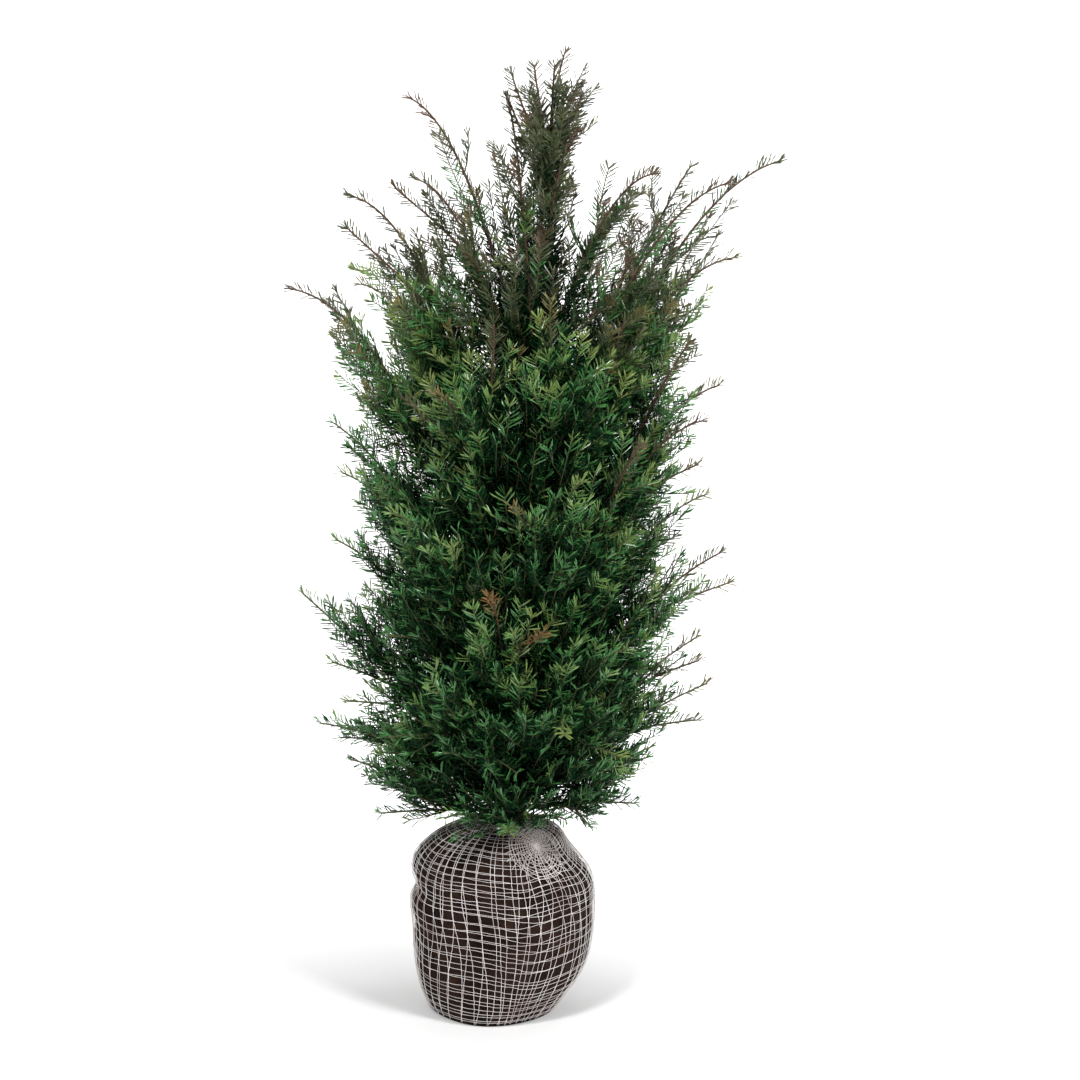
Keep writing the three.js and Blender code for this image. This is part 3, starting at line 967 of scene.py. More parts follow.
SHOOTS = (
    Shoot("left_crown", 935, 170, 174, 1300, 0.9, 0.3, (), 0.9),
    Shoot(
        "left_fan", 862, -163, 170, 1193, 0.95, 0.3,
        (Fork(0.45, 176, 192, 1177), Fork(0.42, -138, 122, 1096)), 0.8,
    ),
    Shoot(
        "left_high", 700, -176, 245, 1168, 0.95, 0.36,
        (Fork(0.42, -160, 258, 1128), Fork(0.38, 160, 154, 1052), Fork(0.37, -170, 104, 1030)), 0.6,
    ),
    Shoot("left_arching", 545, 176, 320, 1036, 0.95, 0.36, (Fork(0.45, 166, 236, 952),), 0.85),
    Shoot("left_middle", 482, -166, 262, 858, 0.74, 0.34, (Fork(0.45, -148, 230, 806),), 0.2),
    Shoot(
        "left_low", 338, 173, 308, 600, 0.48, 0.32,
        (Fork(0.42, 178, 262, 505), Fork(0.36, -172, 240, 458)), 0.35,
    ),
    Shoot(
        "right_fan", 918, -17, 174, 1200, 0.95, 0.3,
        (Fork(0.5, 20, 165, 1171), Fork(0.4, -42, 132, 1142), Fork(0.4, 34, 112, 1112)), 0.8,
    ),
    Shoot(
        "right_crown", 745, -14, 282, 1188, 0.92, 0.36,
        (Fork(0.5, 6, 226, 1205), Fork(0.46, -40, 180, 1090), Fork(0.48, 26, 200, 1125)), 0.75,
    ),
    Shoot("right_arching", 690, 3, 355, 1214, 0.9, 0.4, (), 0.8),
    Shoot(
        "right_high", 628, -8, 296, 1084, 0.95, 0.36,
        (Fork(0.5, 14, 262, 1011), Fork(0.4, -34, 172, 1004), Fork(0.37, 6, 132, 1058)), 0.66,
    ),
    Shoot("right_middle", 520, -3, 280, 905, 0.88, 0.34, (Fork(0.46, -24, 256, 975),), 0.62),
    Shoot("right_lower", 372, -9, 288, 673, 0.74, 0.32, (Fork(0.5, 6, 303, 616),), 0.62),
    Shoot(
        "front_high", 600, -124, 202, 912, 0.9, 0.3,
        (Fork(0.5, -150, 190, 900), Fork(0.36, -108, 112, 1000)), 0.66,
    ),
    Shoot("front_low", 340, -99, 226, 642, 0.9, 0.0, (Fork(0.46, -80, 216, 590),), 1.45),
    Shoot(
        "back_high", 640, 78, 236, 1060, 0.95, 0.34,
        (Fork(0.46, 102, 202, 984), Fork(0.36, 90, 112, 1100)), 0.5,
    ),
    Shoot("back_middle", 455, 98, 256, 835, 0.9, 0.34, (Fork(0.46, 76, 236, 776),), 0.3),
    Shoot("top_left", 992, 158, 40, 1302, 0.85, 0.0, (), 0.8),
    Shoot("top_right", 1012, -18, 60, 1258, 0.85, 0.0, (), 0.8),
    Shoot("top_front", 955, -105, 90, 1213, 0.9, 0.0, (), 0.7),
    Shoot("top_back", 930, 62, 108, 1215, 0.9, 0.0, (), 0.7),
    Shoot("left_back_high", 645, 152, 262, 1034, 0.95, 0.0, (Fork(0.5, 136, 200, 1085),), 0.5),
    Shoot("left_back_middle", 430, 163, 264, 768, 0.88, 0.0, (), 0.4),
    Shoot("left_front_middle", 388, -169, 258, 692, 0.78, 0.0, (Fork(0.42, -146, 214, 570),), 0.15),
    Shoot(
        "left_skirt", 302, -169, 278, 430, 0.8, 0.0,
        (Fork(0.5, 168, 256, 384), Fork(0.35, -150, 220, 402)), 0.2,
    ),
    Shoot(
        "left_hem", 291, -157, 202, 306, 0.9, 0.0,
        (Fork(0.35, 172, 204, 334), Fork(0.4, -178, 232, 366)), 0.12,
    ),
    Shoot(
        "right_front_middle", 470, -24, 276, 868, 0.9, 0.0,
        (Fork(0.52, -22, 266, 806), Fork(0.45, -46, 236, 842)), 0.72,
    ),
    Shoot("right_back_middle", 402, 14, 276, 738, 0.88, 0.0, (Fork(0.5, 32, 266, 664),), 0.62),
    Shoot(
        "right_back_low", 325, 19, 278, 525, 0.64, 0.0,
        (Fork(0.5, 4, 262, 505), Fork(0.36, 36, 220, 440)), 0.6,
    ),
    Shoot("right_skirt", 306, -12, 277, 488, 0.64, 0.0, (Fork(0.45, 2, 262, 420),), 0.58),
    Shoot(
        "right_hem", 292, -22, 186, 318, 0.9, 0.0,
        (Fork(0.4, 20, 206, 350), Fork(0.35, -52, 174, 304), Fork(0.4, -2, 196, 384)), 0.2,
    ),
    Shoot(
        "front_right_high", 655, -56, 200, 948, 0.9, 0.0,
        (Fork(0.46, -86, 178, 918), Fork(0.34, -70, 112, 1030)), 0.45,
    ),
    Shoot("front_left_low", 402, -137, 234, 748, 0.9, 0.0, (Fork(0.5, -114, 214, 706),), 0.4),
    Shoot("front_right_middle", 442, -66, 214, 796, 0.9, 0.0, (Fork(0.5, -92, 212, 765),), 0.5),
    Shoot(
        "front_right_low", 312, -50, 240, 563, 0.88, 0.0,
        (Fork(0.46, -72, 224, 450), Fork(0.34, -44, 206, 402)), 0.42,
    ),
    Shoot(
        "front_left_skirt", 304, -120, 228, 508, 0.88, 0.0,
        (Fork(0.4, -142, 222, 430), Fork(0.34, -100, 196, 400)), 0.25,
    ),
    Shoot(
        "front_hem", 290, -92, 168, 302, 0.95, 0.0,
        (Fork(0.35, -66, 182, 320), Fork(0.3, -122, 178, 318)), 0.15,
    ),
    Shoot("back_left_high", 560, 122, 250, 960, 0.92, 0.0, (Fork(0.4, 142, 140, 1010),), 0.4),
    Shoot("back_right_high", 585, 44, 256, 985, 0.92, 0.0, (), 0.5),
    Shoot("back_right_middle", 425, 56, 262, 760, 0.9, 0.0, (), 0.3),
    Shoot("back_left_low", 365, 130, 262, 628, 0.88, 0.0, (Fork(0.46, 150, 254, 560),), 0.3),
    Shoot("back_right_low", 318, 72, 254, 545, 0.88, 0.0, (Fork(0.45, 50, 248, 440),), 0.2),
    Shoot(
        "back_hem", 294, 112, 200, 332, 0.9, 0.0,
        (Fork(0.4, 150, 206, 340), Fork(0.36, 76, 204, 350)), 0.1,
    ),
)

LEADER = Shoot(
    "leader", TRUNK.top, 4, 36, 1362, 0.8, 0.0,
    (
        Fork(0.3, 104, 24, 1344), Fork(0.32, -20, 58, 1322), Fork(0.18, -170, 38, 1336),
        Fork(0.5, -60, 44, 1346), Fork(0.2, 14, 60, 1300), Fork(0.12, 162, 44, 1300),
        Fork(0.05, -8, 54, 1256),
    ),
    0.76,
)


# ------------------------------------------------------------------------------------------- growth


class Curve:
    """A cubic curve through four guide points, in millimetres."""

    def __init__(self, guides: Sequence[Array]) -> None:
        """Take the guide points.

        Args:
            guides: Start, two handles and end.
        """
        self.guides = [np.asarray(guide, float) for guide in guides]
        line = self.points(np.linspace(0.0, 1.0, 201))
        self.length = float(np.linalg.norm(np.diff(line, axis=0), axis=1).sum())

    def points(self, t: Array) -> Array:
        """Follow the curve.

        Args:
            t: Shares of the curve.

        Returns:
            The points at them.
        """
        t = np.asarray(t, float)[..., None]
        a, b, c, d = self.guides
        s = 1.0 - t
        return s**3 * a + 3.0 * s * s * t * b + 3.0 * s * t * t * c + t**3 * d

    def heading(self, t: Array) -> Array:
        """Follow the way that the curve runs.

        Args:
            t: Shares of the curve.

        Returns:
            The unit directions at them.
        """
        t = np.asarray(t, float)[..., None]
        a, b, c, d = self.guides
        s = 1.0 - t
        return unit(s * s * (b - a) + 2.0 * s * t * (c - b) + t * t * (d - c))


def polar(centre: Array, azimuth: float, reach: float, height: float) -> Array:
    """Return the point at a direction and distance from a vertical line, at a height."""
    turn = math.radians(azimuth)
    return np.array([centre[0] + reach * math.cos(turn), centre[1] + reach * math.sin(turn), height])


def shoot_curve(shoot: Shoot) -> Curve:
    """Lay out the path of a shoot.

    Args:
        shoot: Its sizes.

    Returns:
        A curve from the trunk's axis to its tip.
    """
    start = TRUNK.axis(shoot.leaves)

    def along(out: float, rise: float) -> Array:
        """Return the point at shares of the reach and of the rise."""
        return polar(start, shoot.azimuth, out * shoot.reach, mix(shoot.leaves, shoot.tip, rise))

    return Curve([start, along(*SHOOT.crotch), along(SHOOT.bend, shoot.arch), along(1.0, 1.0)])


def fork_curve(main: Curve, leaves: float, fork: Fork) -> Curve:
    """Return the path of a fork.

    Args:
        main: The stem that it leaves.
        leaves: The height at which its shoot leaves the trunk.
        fork: The fork's own sizes.

    Returns:
        A curve that leaves the stem forwards and arches to the fork's tip.
    """
    start = main.points(fork.at)
    end = polar(TRUNK.axis(leaves), fork.azimuth, fork.reach, fork.tip)
    span = float(np.linalg.norm(end - start))
    ahead = start + main.heading(fork.at) * (0.42 * span)
    over = start + (end - start) * 0.62 + UP * (0.08 * span)
    return Curve([start, ahead, over, end])


@dataclass
class Stem:
    """A stem of a mass of foliage.

    Attributes:
        curve: Its path.
        start: The share of the path where it begins.
        needled: The share of the path where its needles and twigs begin.
    """

    curve: Curve
    start: float
    needled: float


@dataclass
class Mass:
    """A mass of foliage.

    Attributes:
        shoot: The sizes of the shoot that carries it.
        curve: The shoot's whole path.
        stems: Its stems.
    """

    shoot: Shoot
    curve: Curve
    stems: list[Stem]

    @property
    def node(self) -> str:
        """Return the name of the CAD node."""
        return f"foliage_{self.shoot.name}"


def mass_of(shoot: Shoot) -> Mass:
    """Lay out the mass of foliage that a shoot carries.

    Args:
        shoot: The shoot's sizes.

    Returns:
        The mass, with the shoot's own stem and its forks.
    """
    curve = shoot_curve(shoot)
    needled = shoot.bough + 0.04 if shoot.bough > 0.0 else 0.26
    stems = [Stem(curve, shoot.bough, needled)]
    for fork in shoot.forks:
        stems.append(Stem(fork_curve(curve, shoot.leaves, fork), 0.0, 0.12))
    return Mass(shoot, curve, stems)


class Rank(Enum):
    """The order of a shoot."""

    STEM = 0
    TWIG = 1
    SIDE = 2


TWIG_RADII = {Rank.TWIG: (1.15, 0.8), Rank.SIDE: (0.9, 0.65)}
FIRST_RADIUS = (1.3, 0.85)
TWIG_SIDES = {Rank.STEM: 5, Rank.TWIG: 3, Rank.SIDE: 3}


@dataclass
class Twig:
    """One stem or twig as a row of points.

    Attributes:
        points: Its axis in millimetres.
        radius: Its radius at the root and at the tip.
        rank: Its order.
        flush: How far its young growth has turned.
        bare: How much of it, from the root, has no needles, in millimetres.
    """

    points: Array
    radius: Pair
    rank: Rank
    flush: float
    bare: float = 4.0


def too_low(points: Array, top: float) -> Array:
    """Return which points lie in or close to the root ball, or below the hem.

    Args:
        points: Points in millimetres.
        top: The height from which the ball is taken to be as wide as it is there.

    Returns:
        One answer for each point.
    """
    azimuth = np.degrees(np.arctan2(points[:, 1], points[:, 0]))
    out = np.hypot(points[:, 0], points[:, 1])
    reach = BALL.reach(azimuth, np.minimum(points[:, 2], top)) + ROOM.to_ball
    in_ball = (points[:, 2] < BALL.height + ROOM.to_ball) & (out < reach)
    return in_ball | (points[:, 2] < HEM.at(out))


class Space:
    """The rule that keeps the first side twigs of a mass in its own space."""

    def __init__(self, masses: Sequence[Mass]) -> None:
        """Take note of every limb.

        Args:
            masses: All masses of foliage.
        """
        self.stems: dict[str, Array] = {}
        for mass in masses:
            rows = [self._sample(stem.curve, stem.start, 1.0) for stem in mass.stems]
            self.stems[mass.node] = np.concatenate(rows)

    @staticmethod
    def _sample(curve: Curve, start: float, end: float) -> Array:
        """Return close points along a stretch of a curve."""
        steps = math.ceil((end - start) * curve.length / 8.0)
        return curve.points(np.linspace(start, end, steps + 1))

    def holds(self, node: str, points: Array) -> bool:
        """Return whether all points lie in a mass's own space.

        Args:
            node: The mass's node.
            points: Points in millimetres.

        Returns:
            True if all are clear of the ball, above the hem, and nearest to the mass's own stems.
        """
        if np.any(too_low(points, math.inf)):
            return False
        gaps = {}
        for name, row in self.stems.items():
            gaps[name] = np.linalg.norm(points[:, None, :] - row[None, :, :], axis=2).min(axis=1)
        own = gaps.pop(node)
        other = np.min(np.stack(list(gaps.values())), axis=0)
        return bool(np.all(other > own + 2.0 * ROOM.to_foliage))


def reach_along(line: Array) -> Array:
    """Return how far each point of a line lies from its start, along the line."""
    return np.concatenate([[0.0], np.cumsum(np.linalg.norm(np.diff(line, axis=0), axis=1))])


def toward_light(points: Array) -> Array:
    """Find the way that shoots and needles turn to: up and outwards.

    Args:
        points: Points in millimetres.

    Returns:
        Unit vectors, one for each point.
    """
    away = np.array(points, float)
    away[..., 0] -= TRUNK.line_x(away[..., 2])
    away[..., 2] = 0.0
    return unit(unit(away) * 0.7 + UP * 0.7)


@dataclass
class Grower:
    """Grows every stem and twig of the plant.

    Attributes:
        masses: All masses of foliage, in the order of their seeds.
    """

    masses: Sequence[Mass]

    def __post_init__(self) -> None:
        """Part the crown's space among the masses."""
        self.space = Space(self.masses)

    def grow(self) -> list[Twig]:
        """Grow the whole crown.

        Returns:
            All stems and twigs.
        """
        twigs: list[Twig] = []
        for number, mass in enumerate(self.masses, start=1):
            for k, stem in enumerate(mass.stems):
                twigs.extend(self._stem(mass, stem, number * 10 + k))
        twigs.extend(self._on_trunk(ON_NECK, TRUNK.foot + 16.0, TRUNK.foot + 130.0, 0.1))
        twigs.extend(self._on_trunk(ON_SKIRT, TRUNK.foot + 110.0, TRUNK.foot + 330.0, 0.1))
        twigs.extend(self._on_trunk(ON_TRUNK, TRUNK.foot + 90.0, TRUNK.top, 0.35))
        return twigs

    def _on_trunk(self, rule: SideRule, low: float, high: float, flush: float) -> Iterator[Twig]:
        """Yield the shoots that stand on a stretch of the trunk, with all that grows on them.

        Args:
            rule: How they stand.
            low: Height of the stretch's foot.
            high: Height of its top.
            flush: How far the young growth at its top has turned.

        Yields:
            Shoots and their side shoots.
        """
        trunk = np.stack([TRUNK.axis(float(height)) for height in np.linspace(low, high, 90)])
        for k, twig in enumerate(self._shoots(trunk, rule, Chance(round(low) * 31), flush, 0.0)):
            twig.flush = mix(*HABIT.trunk_flush, ramp(float(twig.points[-1][2]), *HABIT.trunk_fade))
            yield twig
            yield from self._shoots(twig.points, ON_TWIG, Chance(round(low) * 57 + k), twig.flush, 6.0)

    def _stem(self, mass: Mass, stem: Stem, seed: int) -> Iterator[Twig]:
        """Yield a stem with all that grows on it.

        Args:
            mass: The mass that it belongs to.
            stem: The stem.
            seed: The seed of its twigs.

        Yields:
            The stem itself, then its twigs of every order.
        """
        flush = mass.shoot.flush
        steps = max(4, round(stem.curve.length * (1.0 - stem.start) / TWIG.step))
        line = stem.curve.points(np.linspace(stem.start, 1.0, steps + 1))
        bare = max(0.0, stem.needled - stem.start - 0.08) * stem.curve.length
        yield Twig(line, (SHOOT.stem_radius, SHOOT.stem_tip_radius), Rank.STEM, flush, bare)
        firsts = list(self._first_twigs(mass, stem, seed))
        low = 0.0 if stem.start == 0.0 and stem is not mass.stems[0] else 0.05
        carrier = stem.curve.points(np.linspace(low, 1.0, 60))
        start, more = HABIT.single
        single = min(start + more * flush, HABIT.most_single * stem.curve.length)
        turned = min(flush, 1.0)
        spacing = mix(*HABIT.spacing, turned)
        rule = replace(ON_STEM, clear=single, spacing=spacing, angle=mix(*HABIT.angle, turned))
        firsts.extend(self._shoots(carrier, rule, Chance(seed * 7919 + 5), flush, 16.0))
        for k, twig in enumerate(firsts):
            whole = ramp(float(twig.points[-1][2]), *HABIT.fade)
            twig.flush = min(flush, HABIT.most_flush) * mix(HABIT.low_share, 1.0, whole)
            yield twig
            yield from self._shoots(twig.points, ON_TWIG, Chance(seed * 131 + k), twig.flush, 7.0)

    def _first_twigs(self, mass: Mass, stem: Stem, seed: int) -> Iterator[Twig]:
        """Yield the twigs that the solids have too, by the same draws.

        Args:
            mass: The mass that they belong to.
            stem: The stem that carries them.
            seed: The seed of their chances.

        Yields:
            Twigs that lie in the mass's own space.
        """
        chance = Chance(seed)
        leafy = stem.curve.length * (TWIG.last - stem.needled)
        count = max(1, round(leafy / TWIG.spacing))
        for i in range(count):
            share = (i + 0.25 + 0.3 * chance.next()) / count
            t = mix(stem.needled, TWIG.last, share)
            roll = 43.0 * chance.next() + i * GOLDEN_ANGLE + seed * 40.0
            length = mix(TWIG.longest, TWIG.shortest, share) * (0.82 + 0.36 * chance.next())
            angle = TWIG.angle * (0.85 + 0.3 * chance.next())
            ahead = stem.curve.heading(t)
            across = square_to(ahead, UP)
            turn = math.radians(roll)
            side = across * math.cos(turn) + np.cross(ahead, across) * math.sin(turn)
            for part in (1.0, 0.72, 0.5):
                line = self._sweep(stem.curve.points(t), ahead, side, length * part, angle, TWIG)
                if self.space.holds(mass.node, line[1:]):
                    yield Twig(line, FIRST_RADIUS, Rank.TWIG, mass.shoot.flush)
                    break

    def _shoots(
        self, carrier: Array, rule: SideRule, chance: Chance, flush: float, start: float
    ) -> Iterator[Twig]:
        """Yield the finer shoots on a shoot.

        Args:
            carrier: The line of the shoot that carries them.
            rule: How they stand.
            chance: Where their chances come from.
            flush: How far their young growth has turned.
            start: How far from the carrier's root the first may stand.

        Yields:
            Shoots clear of the root ball.
        """
        reach = reach_along(carrier)
        headings = unit(np.gradient(carrier, axis=0))
        spot, i = start + rule.spacing * chance.next(), int(8.0 * chance.next())
        rank = Rank.SIDE if rule.flat else Rank.TWIG
        while spot < reach[-1] - rule.clear:
            root = np.array([np.interp(spot, reach, carrier[:, axis]) for axis in range(3)])
            ahead = unit(np.array([np.interp(spot, reach, headings[:, axis]) for axis in range(3)]))
            light = square_to(ahead, toward_light(root))
            across = np.cross(ahead, light)
            if rule.flat:
                turn = math.radians(mix(*VARIETY.tilt, chance.next()))
                side = across * math.cos(turn) * (1.0 if i % 2 else -1.0) + light * math.sin(turn)
            else:
                turn = math.radians(i * GOLDEN_ANGLE + VARIETY.turn * chance.next())
                raised = math.sin(turn)
                if raised < -0.5 and ahead[2] < 0.95:
                    raised *= -0.6
                side = unit(across * math.cos(turn) + light * raised)
            length = min(rule.share * (reach[-1] - spot), rule.longest)
            length *= mix(*VARIETY.length, chance.next())
            angle = rule.angle * mix(*VARIETY.angle, chance.next())
            if length > rule.shortest:
                lifted = replace(rule, rise=rule.rise * ramp(float(root[2]), *VARIETY.rise_heights))
                line = self._sweep(root, ahead, side, length, angle, lifted)
                if not np.any(too_low(line, BALL.height)):
                    yield Twig(line, TWIG_RADII[rank], rank, flush)
            gap = rule.spacing * mix(*VARIETY.spacing, chance.next())
            gap *= mix(*VARIETY.along, spot / reach[-1])
            spot += gap * CROWN.spacing(root)
            i += 1

    @staticmethod
    def _sweep(
        root: Array, ahead: Array, side: Array, length: float, angle: float, rule: SideRule | TwigForm
    ) -> Array:
        """Return a line that leaves a shoot sideways and bends forwards.

        Args:
            root: Where it starts.
            ahead: The way that its carrier runs.
            side: The way out from its carrier.
            length: Its length.
            angle: Its angle from its carrier, in degrees.
            rule: Gives the distance between its points, and how it bends and rises.

        Returns:
            Points from root to tip.
        """
        steps = max(3, round(length / rule.step))
        place = np.linspace(0.0, 1.0, steps)[:, None]
        turn = math.radians(angle) * (1.0 - rule.sweep * place)
        ways = unit(ahead * np.cos(turn) + side * np.sin(turn) + UP * rule.rise * place)
        return np.concatenate([root[None, :], root + np.cumsum(ways * (length / steps), axis=0)])


# ---------------------------------------------------------------------- needles and twigs as meshes


@dataclass(frozen=True)
class Blade:
    """The closed form of a needle.

    Attributes:
        corners: How far along, to the side and up each corner lies, as shares of the needle's sizes.
        faces: Its triangles.
    """

    corners: tuple[Spot, ...]
    faces: tuple[tuple[int, int, int], ...]


SLIGHT = Blade(
    ((0.0, 0.0, 0.0), (0.5, -0.9, -1.0), (0.5, 0.9, -1.0), (1.0, 0.0, 0.0)),
    ((0, 1, 2), (3, 2, 1), (0, 2, 3), (0, 3, 1)),
)
PLAIN = Blade(
    ((0.0, -0.6, 0.0), (0.0, 0.6, 0.0), (0.78, -1.0, 1.0), (0.78, 1.0, 1.0), (1.0, 0.0, 0.0)),
    ((1, 3, 2), (1, 2, 0), (3, 4, 2), (0, 4, 1), (0, 2, 4), (1, 4, 3)),
)
INNER_TONES = (Tone.SHADE, Tone.DEEP)
YOUNG_TONES = (Tone.MOSS, Tone.OLIVE, Tone.GOLD, Tone.AMBER, Tone.BRONZE, Tone.RUSSET, Tone.LIME)


class Flush(NamedTuple):
    """The colours of a twig's young end.

    Attributes:
        above: The flush from which it has them.
        near: The tone of the young end.
        tip: The tone of its last part.
        length: The length of the young end, in millimetres.
    """

    above: float
    near: Tone
    tip: Tone
    length: float


FLUSHES = (
    Flush(-math.inf, Tone.DARK, Tone.GREEN, 10.0),
    Flush(0.20, Tone.GREEN, Tone.FRESH, 30.0),
    Flush(0.40, Tone.FRESH, Tone.LIME, 30.0),
    Flush(0.52, Tone.OLIVE, Tone.GOLD, 32.0),
    Flush(0.60, Tone.MOSS, Tone.OLIVE, 50.0),
    Flush(0.80, Tone.OLIVE, Tone.BRONZE, 40.0),
    Flush(0.98, Tone.BRONZE, Tone.RUSSET, 60.0),
    Flush(1.20, Tone.GOLD, Tone.AMBER, 40.0),
)


class Needles(NamedTuple):
    """Many needles, one row each.

    Attributes:
        root: Where they start.
        ahead: The way they point.
        light: The way their upper faces turn.
        bend: The way their tips bend.
        length: Their lengths.
        tone: The numbers of their tones.
    """

    root: Array
    ahead: Array
    light: Array
    bend: Array
    length: Array
    tone: Array

    def some(self, chosen: Array) -> Needles:
        """Return the chosen rows."""
        return Needles(*(column[chosen] for column in self))


@dataclass
class Foliage:
    """Clothes twigs in needles and makes both into meshes.

    Attributes:
        twigs: Every stem and twig.
        nodes: The CAD nodes that the foliage replaces.
        seed: The whole number that its chances grow from.
    """

    twigs: Sequence[Twig]
    nodes: Sequence[str]
    seed: int = 20260

    def __post_init__(self) -> None:
        """Start the stream of chances."""
        self.random = np.random.default_rng(self.seed)

    def build(self) -> None:
        """Make all pieces of needles and of twigs."""
        rows = [self._clothe(twig) for twig in self.twigs]
        self._needle_pieces(Needles(*(np.concatenate(column) for column in zip(*rows))))
        self._twig_pieces()

    def _clothe(self, twig: Twig) -> Needles:
        """Return one twig's needles.

        Args:
            twig: The twig.

        Returns:
            Its needles, half of the inner ones left out low in the crown.
        """
        line = twig.points
        reach = reach_along(line)
        length = reach[-1]
        free = max(
            ramp(float(line[-1][2]), *NEEDLE.free_heights),
            ramp(float(CROWN.outness(line[-1])), *NEEDLE.free_outs),
        )
        along = np.arange(twig.bare, length - 1.0, mix(NEEDLE.pitch, NEEDLE.close_pitch, free))
        along = along + self.random.uniform(-NEEDLE.jitter, NEEDLE.jitter, len(along))
        crowd = length - self.random.uniform(0.0, NEEDLE.crowd_in, NEEDLE.crowd)
        spots = np.concatenate([along, crowd])
        left = np.maximum(length - spots, 0.0)
        root = np.stack([np.interp(spots, reach, line[:, i]) for i in range(3)], axis=1)
        heading = unit(np.gradient(line, axis=0))
        ahead = unit(np.stack([np.interp(spots, reach, heading[:, i]) for i in range(3)], axis=1))
        light = square_to(ahead, toward_light(root))
        twist = 0.0
        if twig.rank is not Rank.STEM:
            twist = math.radians(self.random.normal(0.0, NEEDLE.twist))
        light = light * math.cos(twist) + np.cross(ahead, light) * math.sin(twist)
        pointing = self._pointing(twig, ahead, light, left)
        size = self._sizes(root, spots, left)
        tone = self._tones(twig, root, left)
        seen = (tone > Tone.DEEP.order) | (root[:, 2] > CROWN.thinned_below)
        keep = seen | (np.arange(len(spots)) % 4 < 2)
        upper = square_to(pointing, light + 0.25 * ahead)
        roll = np.radians(self.random.normal(0.0, NEEDLE.roll, (len(spots), 1)))
        upper = upper * np.cos(roll) + np.cross(pointing, upper) * np.sin(roll)
        return Needles(root, pointing, upper, ahead, size, tone).some(keep)

    def _pointing(self, twig: Twig, ahead: Array, light: Array, left: Array) -> Array:
        """Return the ways that a twig's needles point, in two rows or all round a stem.

        Args:
            twig: The twig.
            ahead: The way it runs at each needle.
            light: The way its upper side turns there.
            left: How much of it lies beyond each, in millimetres.

        Returns:
            Unit vectors.
        """
        n = len(left)
        final = unit(twig.points[-1] - twig.points[-2])
        upright = ramp(float(final[2]), 0.55, 0.98)
        side = np.where(np.arange(n) % 2 == 0, 1.0, -1.0)
        lift = self.random.normal(mix(*NEEDLE.lift, upright), mix(*NEEDLE.lift_spread, upright), n)
        if twig.rank is Rank.STEM:
            lift = self.random.uniform(*NEEDLE.stem_lift, n)
        lift = np.radians(lift)
        out = np.cross(ahead, light) * (side * np.cos(lift))[:, None] + light * np.sin(lift)[:, None]
        closing = NEEDLE.closing * np.clip(1.0 - left / NEEDLE.closing_in, 0.0, 1.0)
        angle = np.radians(NEEDLE.angle - closing + self.random.normal(0.0, NEEDLE.angle_spread, n))
        return ahead * np.cos(angle)[:, None] + out * np.sin(angle)[:, None]

    def _sizes(self, root: Array, spots: Array, left: Array) -> Array:
        """Return the lengths of needles: shorter in the light and towards both ends of their twig.

        Args:
            root: The needles' roots.
            spots: How far along the twig each stands.
            left: How much of the twig lies beyond each.

        Returns:
            Lengths in millimetres.
        """
        shade = 1.0 - np.clip(CROWN.light(root), 0.0, 1.0)
        size = mix(NEEDLE.young, NEEDLE.grown, np.clip((shade - 0.1) * 1.7, 0.0, 1.0))
        size = size * self.random.uniform(*NEEDLE.lengths, len(root))
        for distance, (share, over) in ((left, NEEDLE.at_tip), (spots, NEEDLE.at_root)):
            size = size * np.clip(share + distance / over, 0.0, 1.0)
        return size

    def _tones(self, twig: Twig, root: Array, left: Array) -> Array:
        """Deal a tone to each needle of a twig: painted shade, darker the less light reaches it, and the
        flush's own colours only on its lit young end.

        Args:
            twig: The twig.
            root: The needles' roots.
            left: How much of the twig lies beyond each, in millimetres.

        Returns:
            Numbers of tones.
        """
        lot = self.random.uniform(0.0, 1.0)
        light = CROWN.light(root) + TONES.lot * (lot - 0.5)
        light += self.random.normal(0.0, TONES.spread, len(root))
        top = root[:, 2] + TONES.top_spread * (lot - 0.5) > TONES.top
        olive = top & (lot < TONES.olive_share)
        result = np.full(len(root), Tone.SHADE.order)
        result = np.where(light > TONES.deep, Tone.DEEP.order, result)
        result = np.where(light > TONES.dark, np.where(top, Tone.MOSS.order, Tone.DARK.order), result)
        result = np.where(light > TONES.green, np.where(olive, Tone.OLIVE.order, Tone.GREEN.order), result)
        flush = twig.flush + TONES.flush_spread * (self.random.uniform(0.0, 1.0) - 0.5)
        if twig.rank is Rank.SIDE:
            flush -= TONES.side_loss
        colours = [row for row in FLUSHES if flush > row.above][-1]
        young = colours.length * (TONES.stem_stretch if twig.rank is Rank.STEM else 1.0)
        young = young * self.random.uniform(0.7, 1.3, len(root))
        outer = light > TONES.outer
        result = np.where(outer & (left < young), colours.near.order, result)
        return np.where(outer & (left < 0.4 * young), colours.tip.order, result)

    def _needle_pieces(self, needles: Needles) -> None:
        """Make the needles of each tone into pieces of a fair size.

        Args:
            needles: All needles.
        """
        LOG.info("needles: %d", len(needles.root))
        for tone in Tone:
            chosen = np.flatnonzero(needles.tone == tone.order)
            if not len(chosen):
                continue
            material = NEEDLE_FINISHES[tone].material(f"needle_{tone.value}")
            blade, width = PLAIN, NEEDLE.young_width if tone in YOUNG_TONES else NEEDLE.width
            # The shade and deep needles are wider, near-black filler: painted shade inside the crown.
            if tone in INNER_TONES:
                blade, width = SLIGHT, NEEDLE.inner_width
            parts = math.ceil(len(chosen) * len(blade.faces) / MOST_TRIANGLES)
            for k, some in enumerate(np.array_split(chosen, parts), start=1):
                name = f"needles_{tone.value}" + (f"_{k}" if parts > 1 else "")
                piece = mesh_object(name, *self._blades(needles.some(some), width, blade))
                settle(piece, material, self.nodes)

